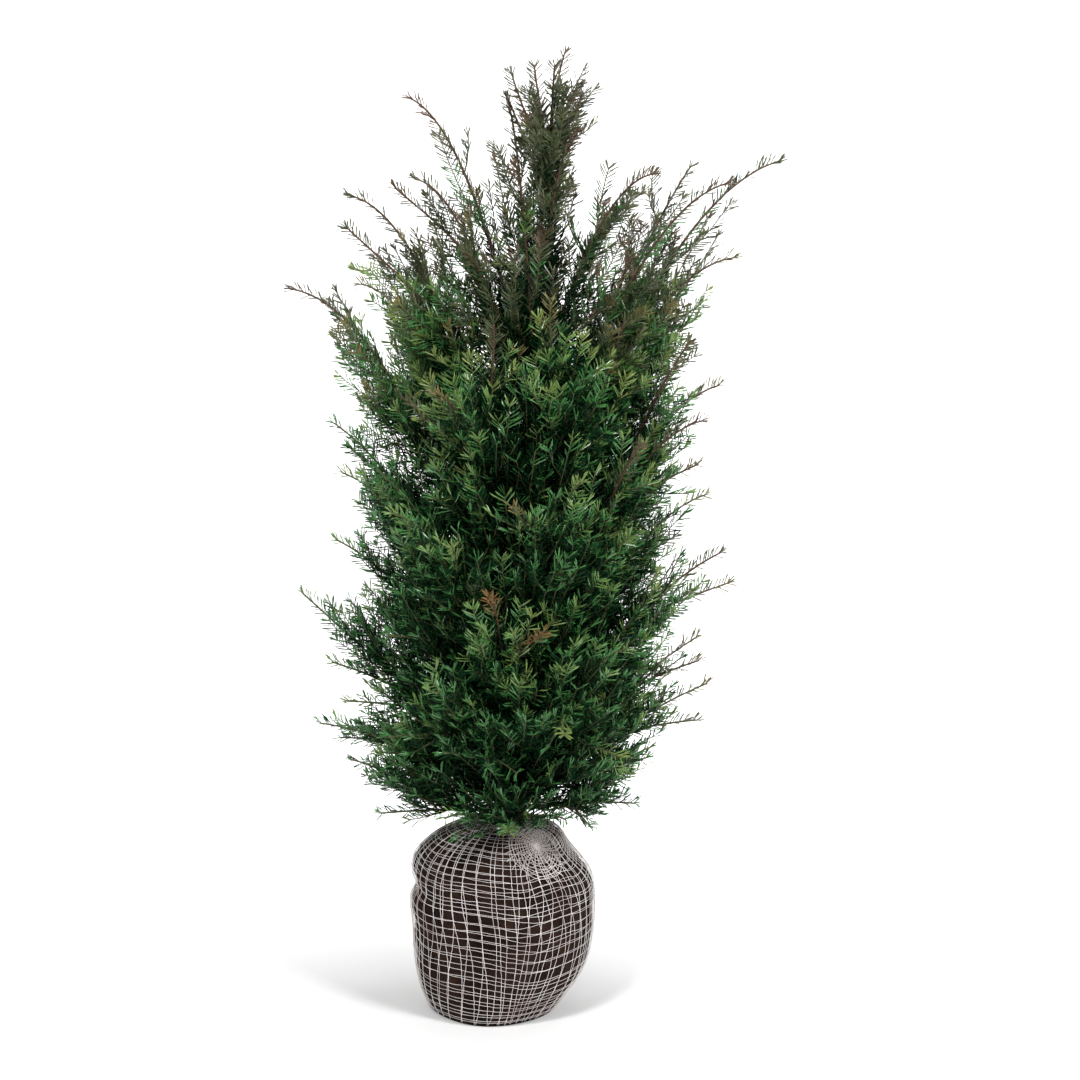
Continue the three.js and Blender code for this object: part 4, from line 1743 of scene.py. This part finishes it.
    def _blades(self, needles: Needles, width: float, blade: Blade) -> Shape:
        """Make closed, flat, slightly curved needles.

        Args:
            needles: Where and how they stand.
            width: Their width.
            blade: Their form.

        Returns:
            Corners and triangles.
        """
        root, ahead, light, forwards, length, _ = needles
        n = len(root)
        wide = 0.5 * width * self.random.uniform(*NEEDLE.widths, (n, 1))
        across = unit(np.cross(ahead, light)) * wide
        keel = light * NEEDLE.thickness
        size = length[:, None]
        bend = (forwards + light * self.random.normal(0.1, 0.4, (n, 1))) * NEEDLE.curve * size
        corners = []
        for share, side, up in blade.corners:
            centre = root + ahead * (share * size) + bend * (share * share)
            corners.append(centre + across * side + keel * up)
        faces = np.array(blade.faces)[None, :, :] + (np.arange(n) * len(corners))[:, None, None]
        return np.stack(corners, axis=1).reshape(-1, 3), faces.reshape(-1, 3)

    def _twig_pieces(self) -> None:
        """Make the twigs into pieces, the red stems apart from the green twigs."""
        kinds: dict[bool, list[Shape]] = {True: [], False: []}
        for twig in self.twigs:
            kinds[twig.flush > HABIT.red and twig.rank is Rank.STEM].append(self._twig_tube(twig))
        for red, name, finish in ((True, "twigs_red", RED_TWIG), (False, "twigs_green", GREEN_TWIG)):
            tubes = kinds[red]
            material = finish.material(name)
            parts = math.ceil(sum(len(faces) for _, faces in tubes) / MOST_TRIANGLES)
            for k in range(parts):
                piece = mesh_object(f"{name}_{k + 1}", *join(tubes[k::parts]), smooth=True)
                settle(piece, material, self.nodes)

    @staticmethod
    def _twig_tube(twig: Twig) -> Shape:
        """Make a stem, or a twig at every other of its points.

        Args:
            twig: The stem or twig.

        Returns:
            Corners and triangles.
        """
        keep = np.arange(len(twig.points))
        if twig.rank is not Rank.STEM:
            keep = keep[(keep % 2 == 0) | (keep == len(keep) - 1)]
        radii = np.linspace(*twig.radius, len(twig.points))[keep]
        return tube(twig.points[keep], radii, TWIG_SIDES[twig.rank])


def tube(line: Array, radii: Array, sides: int, loop: bool = False) -> Shape:
    """Make a closed round tube along a line.

    Args:
        line: Its middle, one row a ring.
        radii: Its radius at each ring.
        sides: Corners in a ring.
        loop: Whether the line comes back to its start.

    Returns:
        Corners and triangles. An open line's ends are closed with a point.
    """
    if loop:
        heading = unit(np.roll(line, -1, axis=0) - np.roll(line, 1, axis=0))
    else:
        heading = unit(np.gradient(line, axis=0))
    across = np.empty_like(line)
    across[0] = square_to(heading[0], UP)
    for k in range(1, len(line)):
        across[k] = square_to(heading[k], across[k - 1])
    along = np.cross(heading, across)
    turn = 2.0 * math.pi * np.arange(sides) / sides
    rings = line[:, None, :] + radii[:, None, None] * (
        across[:, None, :] * np.cos(turn)[None, :, None] + along[:, None, :] * np.sin(turn)[None, :, None]
    )
    count = len(line)
    ring = np.arange(count if loop else count - 1)
    j = np.arange(sides)
    a = (ring[:, None] * sides + j[None, :]).ravel()
    b = (ring[:, None] * sides + (j[None, :] + 1) % sides).ravel()
    c = ((ring[:, None] + 1) % count * sides + (j[None, :] + 1) % sides).ravel()
    d = ((ring[:, None] + 1) % count * sides + j[None, :]).ravel()
    faces = [np.stack([a, b, c], axis=1), np.stack([a, c, d], axis=1)]
    points = rings.reshape(-1, 3)
    if not loop:
        first, last = len(points), len(points) + 1
        points = np.concatenate([points, line[:1], line[-1:] + heading[-1:] * radii[-1]])
        end = (count - 1) * sides
        nxt = (j + 1) % sides
        faces.append(np.stack([np.full(sides, first), nxt, j], axis=1))
        faces.append(np.stack([np.full(sides, last), end + j, end + nxt], axis=1))
    return points, np.concatenate(faces)


def join(shapes: Sequence[Shape]) -> Shape:
    """Join many shapes into one.

    Args:
        shapes: Their corners and triangles.

    Returns:
        Corners and triangles of all.
    """
    points, faces, start = [], [], 0
    for corners, triangles in shapes:
        points.append(corners)
        faces.append(triangles + start)
        start += len(corners)
    return np.concatenate(points), np.concatenate(faces)


# --------------------------------------------------------------------------------- trunk and boughs


@dataclass
class Limb:
    """A limb with the relief of its bark.

    Attributes:
        centre: Gives the axis at a share of the limb, in millimetres.
        radius: Gives the radius at that share.
        rings: How many rings it has.
        sides: Corners in a ring.
        relief: How deep its bark is, in millimetres.
        flake: How long a plate of bark is, in millimetres.
    """

    centre: Callable[[float], Array]
    radius: Callable[[float], float]
    rings: int
    sides: int
    relief: float
    flake: float

    def add_to(self, form: bmesh.types.BMesh) -> None:
        """Extrude the limb ring by ring from a circle.

        Args:
            form: The bmesh that takes the limb.
        """
        first = bmesh.ops.create_circle(form, cap_ends=True, segments=self.sides, radius=1.0)
        ring = first["verts"]
        turns = [math.atan2(vert.co.y, vert.co.x) for vert in ring]
        self._place(ring, turns, 0.0)
        edges = [edge for edge in form.edges if all(vert in ring for vert in edge.verts)]
        for k in range(1, self.rings + 1):
            grown = bmesh.ops.extrude_edge_only(form, edges=edges)["geom"]
            fresh = {item for item in grown if isinstance(item, bmesh.types.BMVert)}
            partner = []
            for vert in ring:
                others = (edge.other_vert(vert) for edge in vert.link_edges)
                partner.append(next(other for other in others if other in fresh))
            ring = partner
            edges = [item for item in grown if isinstance(item, bmesh.types.BMEdge)]
            edges = [edge for edge in edges if set(edge.verts) <= fresh]
            self._place(ring, turns, k / self.rings)
        bmesh.ops.holes_fill(form, edges=edges, sides=0)

    def _place(self, ring: Sequence[bmesh.types.BMVert], turns: Sequence[float], share: float) -> None:
        """Move a ring's corners to their place on the limb.

        Args:
            ring: The corners.
            turns: The way that each looks out, in radians.
            share: The ring's share of the limb.
        """
        centre = self.centre(share)
        step = 1e-3
        ahead = unit(self.centre(min(share + step, 1.0)) - self.centre(max(share - step, 0.0)))
        across = square_to(ahead, np.array([1.0, 0.0, 0.0]))
        along = np.cross(ahead, across)
        radius = self.radius(share)
        for vert, turn in zip(ring, turns):
            out = across * math.cos(turn) + along * math.sin(turn)
            vert.co = Vector((centre + out * (radius + self._bark(out, centre, radius))) * MM)

    def _bark(self, out: Array, centre: Array, radius: float) -> float:
        """Return how far the bark stands in or out at a spot."""
        spot = Vector((*(out[:2] * radius / (0.32 * self.flake)), centre[2] / self.flake))
        return self.relief * (max(grain(spot), -0.25) + 0.35 * grain(spot * 3.1) - 0.3)


@dataclass
class Wood:
    """The trunk and the boughs.

    Attributes:
        masses: All masses of foliage, on a bough or on the trunk.
    """

    masses: Sequence[Mass]

    def build(self) -> None:
        """Make the trunk and all boughs."""
        form = bmesh.new()
        foot, top = TRUNK.foot + 0.3, TRUNK.top
        Limb(
            lambda s: TRUNK.axis(mix(foot, top, s)),
            lambda s: TRUNK.thickness(mix(foot, top, s)),
            rings=260, sides=30, relief=1.1, flake=16.0,
        ).add_to(form)
        settle(bmesh_object("trunk_bark", form), TRUNK_BARK.material("trunk_bark"), ["trunk"])

        form = bmesh.new()
        borne = [mass for mass in self.masses if mass.shoot.bough > 0.0]
        for mass in borne:
            shoot, curve = mass.shoot, mass.curve
            begin = self._seat(mass)
            Limb(
                lambda s, c=curve, b=begin, e=shoot.bough: c.points(mix(b, e, s)),
                lambda s, m=shoot, b=begin: self._bough_radius(m, mix(b, m.bough, s)),
                rings=46, sides=12, relief=0.45, flake=9.0,
            ).add_to(form)
        nodes = [f"bough_{mass.shoot.name}" for mass in borne]
        settle(bmesh_object("bough_bark", form), BOUGH_BARK.material("bough_bark"), nodes)

    @staticmethod
    def _seat(mass: Mass) -> float:
        """Return the share of a shoot's path at which it comes out of the trunk's middle."""
        reach = TRUNK.thickness(mass.shoot.leaves) * 0.5
        return min(reach / mass.curve.length, 0.05)

    @staticmethod
    def _bough_radius(shoot: Shoot, t: float) -> float:
        """Reckon how thick a bough is.

        Args:
            shoot: The sizes of the shoot that it belongs to.
            t: The share of the shoot.

        Returns:
            The bough's radius, wider where it leaves the trunk.
        """
        root = SHOOT.bough_tip_radius + 0.011 * (shoot.tip - shoot.leaves)
        root = min(root, 0.62 * TRUNK.thickness(shoot.leaves))
        collar = 1.0 + 0.35 * math.exp(-t / 0.03)
        return mix(root, SHOOT.bough_tip_radius, t / shoot.bough) * collar


# ---------------------------------------------------------------------------------------- root ball


@dataclass
class RootBall:
    """The burlap of the root ball and the netting drawn over it, in millimetres.

    Attributes:
        mesh: Corners round the burlap, and rings from its underside to its top.
        flat: Share of the cloth that lies under the ball.
        top: Share of the cloth at which the ball's top begins.
        fold_size: Distance between creases.
        crease: Depth of a crease.
        rumple: Depth of the small rumples.
        pleats: How many pleats gather the cloth at the neck.
        pleat: Their depth.
        pleated_above: Height at which they begin.
    """

    mesh: tuple[int, int] = (220, 150)
    flat: float = 0.12
    top: float = 0.9
    fold_size: float = 46.0
    crease: float = 4.2
    rumple: float = 1.3
    pleats: float = 17.0
    pleat: float = 2.2
    pleated_above: float = 225.0

    def build(self) -> None:
        """Make the burlap and both layers of netting."""
        self._burlap()
        Netting().build()

    def _burlap(self) -> None:
        """Shape a sphere of many faces into the wrapped ball."""
        form = bmesh.new()
        around, rings = self.mesh
        bmesh.ops.create_uvsphere(form, u_segments=around, v_segments=rings, radius=1.0)
        layer = form.loops.layers.uv.new("cloth")
        spots = {}
        for vert in form.verts:
            azimuth = math.degrees(math.atan2(vert.co.y, vert.co.x))
            share = 1.0 - math.acos(min(max(vert.co.z, -1.0), 1.0)) / math.pi
            spots[vert.index] = (azimuth, share)
            vert.co = Vector(self._point(azimuth, share) * MM)
        form.verts.index_update()
        for face in form.faces:
            middle = math.degrees(math.atan2(*reversed(face.calc_center_median()[:2])))
            for corner in face.loops:
                azimuth, share = spots[corner.vert.index]
                if abs(azimuth - middle) > 180.0:
                    azimuth += math.copysign(360.0, middle)
                corner[layer].uv = (azimuth / 360.0 * 0.82, share * 0.5)
        settle(bmesh_object("root_ball_burlap", form), BurlapFinish().material(), ["root_ball"])

    def _point(self, azimuth: float, share: float) -> Array:
        """Return the place of a spot of the cloth.

        Args:
            azimuth: Its direction in degrees.
            share: How far up the cloth it lies, from the middle of the underside to the top.

        Returns:
            The point in millimetres.
        """
        if share < self.flat:
            reach = float(BALL.reach(np.array(azimuth), np.array(0.0))) * share / self.flat
            return self._at(azimuth, reach, 0.0)
        if share > self.top:
            rim = float(BALL.reach(np.array(azimuth), np.array(BALL.height)))
            fold = self._fold(azimuth, BALL.height, rim) * 0.4
            inward = (share - self.top) / (1.0 - self.top)
            return self._at(azimuth, rim * (1.0 - inward), BALL.height - 0.2 - abs(fold) * (1.0 - inward))
        climb = (share - self.flat) / (self.top - self.flat)
        height = BALL.height * float(ball_climb(climb))
        reach = float(BALL.reach(np.array(azimuth), np.array(height)))
        return self._at(azimuth, reach - self._fold(azimuth, height, reach), height)

    @staticmethod
    def _at(azimuth: float, reach: float, height: float) -> Array:
        """Return the point at a direction, distance and height from the ball's axis."""
        return polar(np.array([float(BALL.axis_x(np.array(height))), 0.0]), azimuth, reach, height)

    def _fold(self, azimuth: float, height: float, reach: float) -> float:
        """Reckon how far folds draw the cloth in.

        Args:
            azimuth: The spot's direction in degrees.
            height: Its height.
            reach: How far the ball's surface lies from its axis there.

        Returns:
            A distance in millimetres.
        """
        turn = math.radians(azimuth)
        spot = Vector((math.cos(turn) * reach, math.sin(turn) * reach, height * 0.7)) / self.fold_size
        crease = self.crease * max(1.0 - abs(grain(spot)) * 2.0, 0.0) ** 4
        rumple = self.rumple * max(grain(spot * 4.3) + 0.6, 0.0)
        pleat = 0.5 + 0.5 * math.cos(self.pleats * turn + 2.0 * math.sin(3.0 * turn))
        gather = self.pleat * ramp(height, self.pleated_above, BALL.height) * pleat
        return (crease + rumple + gather) * ramp(height, 0.0, 25.0) + 0.4


def ball_climb(share: Array) -> Array:
    """Return the shares of the ball's height at even shares of its outline."""
    return np.sin(0.5 * math.pi * share) ** 1.15


@dataclass
class Netting:
    """Two loose layers of knitted net, drawn over the rim of the ball towards the trunk.

    Attributes:
        around: Upright strands in each layer.
        levels: Level strands in each layer.
        radius: Radius of an upright strand in millimetres.
        lift: How far each layer stands off the burlap, in millimetres.
        outline: Length of the ball's outline from its foot to its rim.
        neck: Outline share at which the strands end, over the rim and near the trunk.
        gather: Azimuth and outline share of the middle of the gathered part.
        gather_size: Radius of the gathered part in millimetres.
        pull: How far the net is pulled askew, round the ball in degrees and along the outline.
        tug: The same for its small pulls.
        slant: How far its level strands slant along the outline.
        rings: Rings in the gathered part.
        spokes: Strands that run out from its middle.
        seed: The whole number that the net's pulls grow from.
    """

    around: tuple[int, int] = (45, 42)
    levels: tuple[int, int] = (28, 27)
    radius: float = 0.34
    lift: Pair = (0.8, 1.6)
    outline: float = 330.0
    neck: float = 1.045
    gather: Pair = (-57.0, 0.78)
    gather_size: float = 52.0
    pull: Pair = (15.0, 0.045)
    tug: Pair = (0.8, 0.004)
    slant: float = 0.030
    rings: int = 12
    spokes: int = 28
    seed: int = 7

    def build(self) -> None:
        """Make one piece for each layer, and the part where the net is gathered."""
        material = NetFinish().material()
        noise.seed_set(self.seed)
        for layer in range(2):
            strands = [*self._uprights(layer), *self._levels(layer)]
            if layer == 1:
                strands.extend(self._gathered())
            name = ("netting_inner", "netting_outer")[layer]
            settle(mesh_object(name, *join(strands), smooth=True), material)

    def _surface(self, azimuth: Array, climb: Array, lift: Array) -> Array:
        """Return points on the ball, lifted off it.

        Args:
            azimuth: Directions in degrees.
            climb: Shares of the outline, from the foot to the rim; past 1 they lie on the top.
            lift: Distances off the surface.

        Returns:
            Points in millimetres.
        """
        inward = np.maximum(climb - 1.0, 0.0) * self.outline
        climb = np.clip(climb, 0.0, 1.0)
        height = BALL.height * ball_climb(climb)
        reach = BALL.reach(azimuth, height) + lift * np.clip((1.0 - climb) * 9.0, 0.25, 1.0) - inward
        turn = np.radians(azimuth)
        x = BALL.axis_x(height) + reach * np.cos(turn)
        top = np.maximum(height, self.radius) + lift * np.clip(climb * 1.6 - 0.7, 0.0, 1.0)
        return np.stack([x, reach * np.sin(turn), top], axis=-1)

    def _strand(self, layer: int, azimuth: Array, climb: Array, radius: float, loop: bool) -> Shape:
        """Return one strand of a layer, pulled askew with the whole layer.

        Args:
            layer: The layer.
            azimuth: Directions of its points before the pull.
            climb: Outline shares of its points before the pull.
            radius: Its radius.
            loop: Whether it runs right round.

        Returns:
            Corners and triangles.
        """
        turn = np.radians(azimuth)
        sway, sink = np.empty_like(turn), np.empty_like(turn)
        for k, (a, c) in enumerate(zip(turn, climb)):
            spot = Vector((math.cos(a) * 1.2, math.sin(a) * 1.2, c * 2.2 + 0.35 * layer))
            broad = noise.noise_vector(spot)
            small = noise.noise_vector(spot * 3.7)
            sway[k] = self.pull[0] * broad.x + self.tug[0] * small.x
            sink[k] = self.pull[1] * broad.y + self.tug[1] * small.y
        hold = np.clip(climb * 6.0, 0.0, 1.0) * np.clip((1.0 - climb) * 5.0, 0.0, 1.0)
        slant = self.slant * np.sin(turn - 0.5 + 0.5 * layer)
        lift = np.full_like(turn, self.lift[layer] + (0.0 if loop else -0.35))
        azimuth = azimuth + sway + (5.0 - 9.0 * layer) * climb
        line = self._surface(azimuth, climb + (sink + slant) * hold, lift)
        return tube(line, np.full(len(line), radius), 4, loop)

    def _uprights(self, layer: int) -> Iterator[Shape]:
        """Yield the strands that run from the foot to the neck.

        Args:
            layer: The layer.

        Yields:
            One strand after the other.
        """
        chance = Chance(41 + layer)
        count = self.around[layer]
        climb = np.linspace(0.015, self.neck, 76)
        for i in range(count):
            kink = 0.15 * np.sin(climb * math.pi * self.levels[layer] * 2.0 + 3.0 * chance.next())
            azimuth = 360.0 * (i + 0.35 * chance.next()) / count + kink
            yield self._strand(layer, azimuth, climb, self.radius, False)

    def _levels(self, layer: int) -> Iterator[Shape]:
        """Yield the strands that run round the ball.

        Args:
            layer: The layer.

        Yields:
            One strand after the other.
        """
        chance = Chance(97 + layer)
        count = self.levels[layer]
        azimuth = np.linspace(0.0, 360.0, 168, endpoint=False)
        for i in range(count):
            kink = 0.0007 * np.sin(np.radians(azimuth) * self.around[layer] + 3.0 * chance.next())
            climb = mix(0.03, self.neck, (i + 0.45 * layer + 0.35 * chance.next()) / count) + kink
            yield self._strand(layer, azimuth, climb, self.radius * 0.85, True)

    def _gathered(self) -> Iterator[Shape]:
        """Yield the strands of the part where the net is drawn together.

        Yields:
            Its rings, then its spokes.
        """
        chance = Chance(7)
        turn = np.linspace(0.0, 2.0 * math.pi, 84, endpoint=False)
        for i in range(self.rings):
            size = self.gather_size * mix(0.05, 1.0, i / (self.rings - 1.0))
            fold = 0.05 * np.sin(3.0 * turn + 2.0 * chance.next())
            size = size * (1.0 + fold + 0.02 * np.sin(8.0 * turn + i))
            yield self._around_gather(turn, size, 3.4 - 0.12 * i, True)
        size = np.linspace(0.02, 1.15, 28) * self.gather_size
        for i in range(self.spokes):
            turn = 2.0 * math.pi * (i + 0.4 * chance.next()) / self.spokes + 0.009 * size
            yield self._around_gather(turn, size, 3.0, False)

    def _around_gather(self, turn: Array, size: Array, lift: float, loop: bool) -> Shape:
        """Make a strand of the gathered part.

        Args:
            turn: The ways of its points from the part's middle, in radians.
            size: Their distances from there.
            lift: How far it stands off the burlap.
            loop: Whether it runs right round.

        Returns:
            Corners and triangles.
        """
        azimuth, climb = self.gather
        azimuth = azimuth + np.degrees(size * np.cos(turn) / 108.0)
        climb = climb + 0.0031 * size * np.sin(turn)
        line = self._surface(azimuth, climb, np.full_like(turn, lift))
        return tube(line, np.full(len(line), self.radius * 1.2), 4, loop)


# ------------------------------------------------------------------------------------------- studio


@dataclass(frozen=True)
class Lamp:
    """A soft round light, in metres and watts, that faces the spot in aim."""

    name: str
    place: Spot
    size: float
    power: float
    aim: Spot

    def build(self) -> None:
        """Put the light into the scene."""
        lamp = bpy.data.lights.new(self.name, "AREA")
        lamp.shape = "DISK"
        lamp.size = self.size
        lamp.energy = self.power
        item = placed(self.name, lamp)
        item.location = self.place
        item.rotation_euler = (Vector(self.aim) - Vector(self.place)).to_track_quat("-Z", "Y").to_euler()


@dataclass
class Studio:
    """A plain pale floor that curves up behind the plant, soft light and the camera.

    Sizes are in metres, the sensor's in millimetres, the camera's pitch in degrees down.
    """

    camera_at: Spot = (0.052, -4.25, 1.403)
    pitch: float = 9.62
    focal_pixels: float = 3051.6
    image_pixels: int = 1080
    sensor: float = 36.0
    half: float = 6.0
    bend_from: float = 3.0
    bend_radius: float = 1.6
    around: float = 0.15
    lamps: tuple[Lamp, ...] = (
        Lamp("key", (-1.3, -2.6, 3.4), 1.0, 120.0, (0.0, 0.0, 0.7)),
        Lamp("fill", (2.4, -2.4, 2.6), 1.2, 142.0, (0.0, 0.0, 0.7)),
        Lamp("top", (0.3, 0.2, 3.3), 1.4, 60.0, (0.0, 0.0, 0.9)),
        Lamp("backdrop_left", (-1.7, 1.2, 1.8), 1.6, 96.0, (-0.6, 4.4, 1.2)),
        Lamp("backdrop_right", (1.7, 1.2, 1.8), 1.6, 96.0, (0.6, 4.4, 1.2)),
    )

    def build(self) -> None:
        """Make the floor, the lights and the camera."""
        self._floor()
        self._surroundings()
        for lamp in self.lamps:
            lamp.build()
        self._camera()
        bpy.context.scene.view_settings.view_transform = "Standard"

    def _floor(self) -> None:
        """Sweep the floor's profile into a seamless backdrop."""
        radius = self.bend_radius
        profile = [(-self.half, 0.0), (self.bend_from, 0.0)]
        for turn in np.linspace(0.1, 0.5 * math.pi, 14):
            profile.append((self.bend_from + radius * math.sin(turn), radius * (1.0 - math.cos(turn))))
        profile.append((self.bend_from + radius, self.half))
        form = bmesh.new()
        corners = [form.verts.new((-self.half, y, z)) for y, z in profile]
        for pair in zip(corners, corners[1:]):
            form.edges.new(pair)
        swept = bmesh.ops.extrude_edge_only(form, edges=form.edges[:])["geom"]
        moved = [item for item in swept if isinstance(item, bmesh.types.BMVert)]
        bmesh.ops.translate(form, verts=moved, vec=(2.0 * self.half, 0.0, 0.0))
        floor = bmesh_object("floor", form)
        skin = Skin("pale_floor", 0.9, 0.1)
        skin.paint((0.86, 0.86, 0.86))
        floor.data.materials.append(skin.material)

    def _surroundings(self) -> None:
        """Light the plant softly from all round."""
        world = bpy.data.worlds.new("studio")
        bpy.context.scene.world = world
        world.use_nodes = True
        background = world.node_tree.nodes["Background"]
        background.inputs["Color"].default_value = (1.0, 1.0, 1.0, 1.0)
        background.inputs["Strength"].default_value = self.around

    def _camera(self) -> None:
        """Place the camera."""
        lens = bpy.data.cameras.new("camera")
        lens.sensor_width = self.sensor
        lens.sensor_fit = "HORIZONTAL"
        lens.lens = self.focal_pixels / self.image_pixels * self.sensor
        camera = placed("camera", lens)
        camera.location = self.camera_at
        camera.rotation_euler = (math.radians(90.0 - self.pitch), 0.0, 0.0)
        bpy.context.scene.camera = camera


# --------------------------------------------------------------------------------------------- main


def main() -> None:
    """Build the plant and its studio."""
    logging.basicConfig(level=logging.INFO, format="%(name)s: %(message)s")
    Studio().build()
    masses = [mass_of(LEADER), *(mass_of(shoot) for shoot in SHOOTS)]
    twigs = Grower(masses).grow()
    LOG.info("twigs: %d", len(twigs))
    Wood(masses).build()
    Foliage(twigs, [mass.node for mass in masses]).build()
    RootBall().build()
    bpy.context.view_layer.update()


if __name__ == "__main__":
    main()
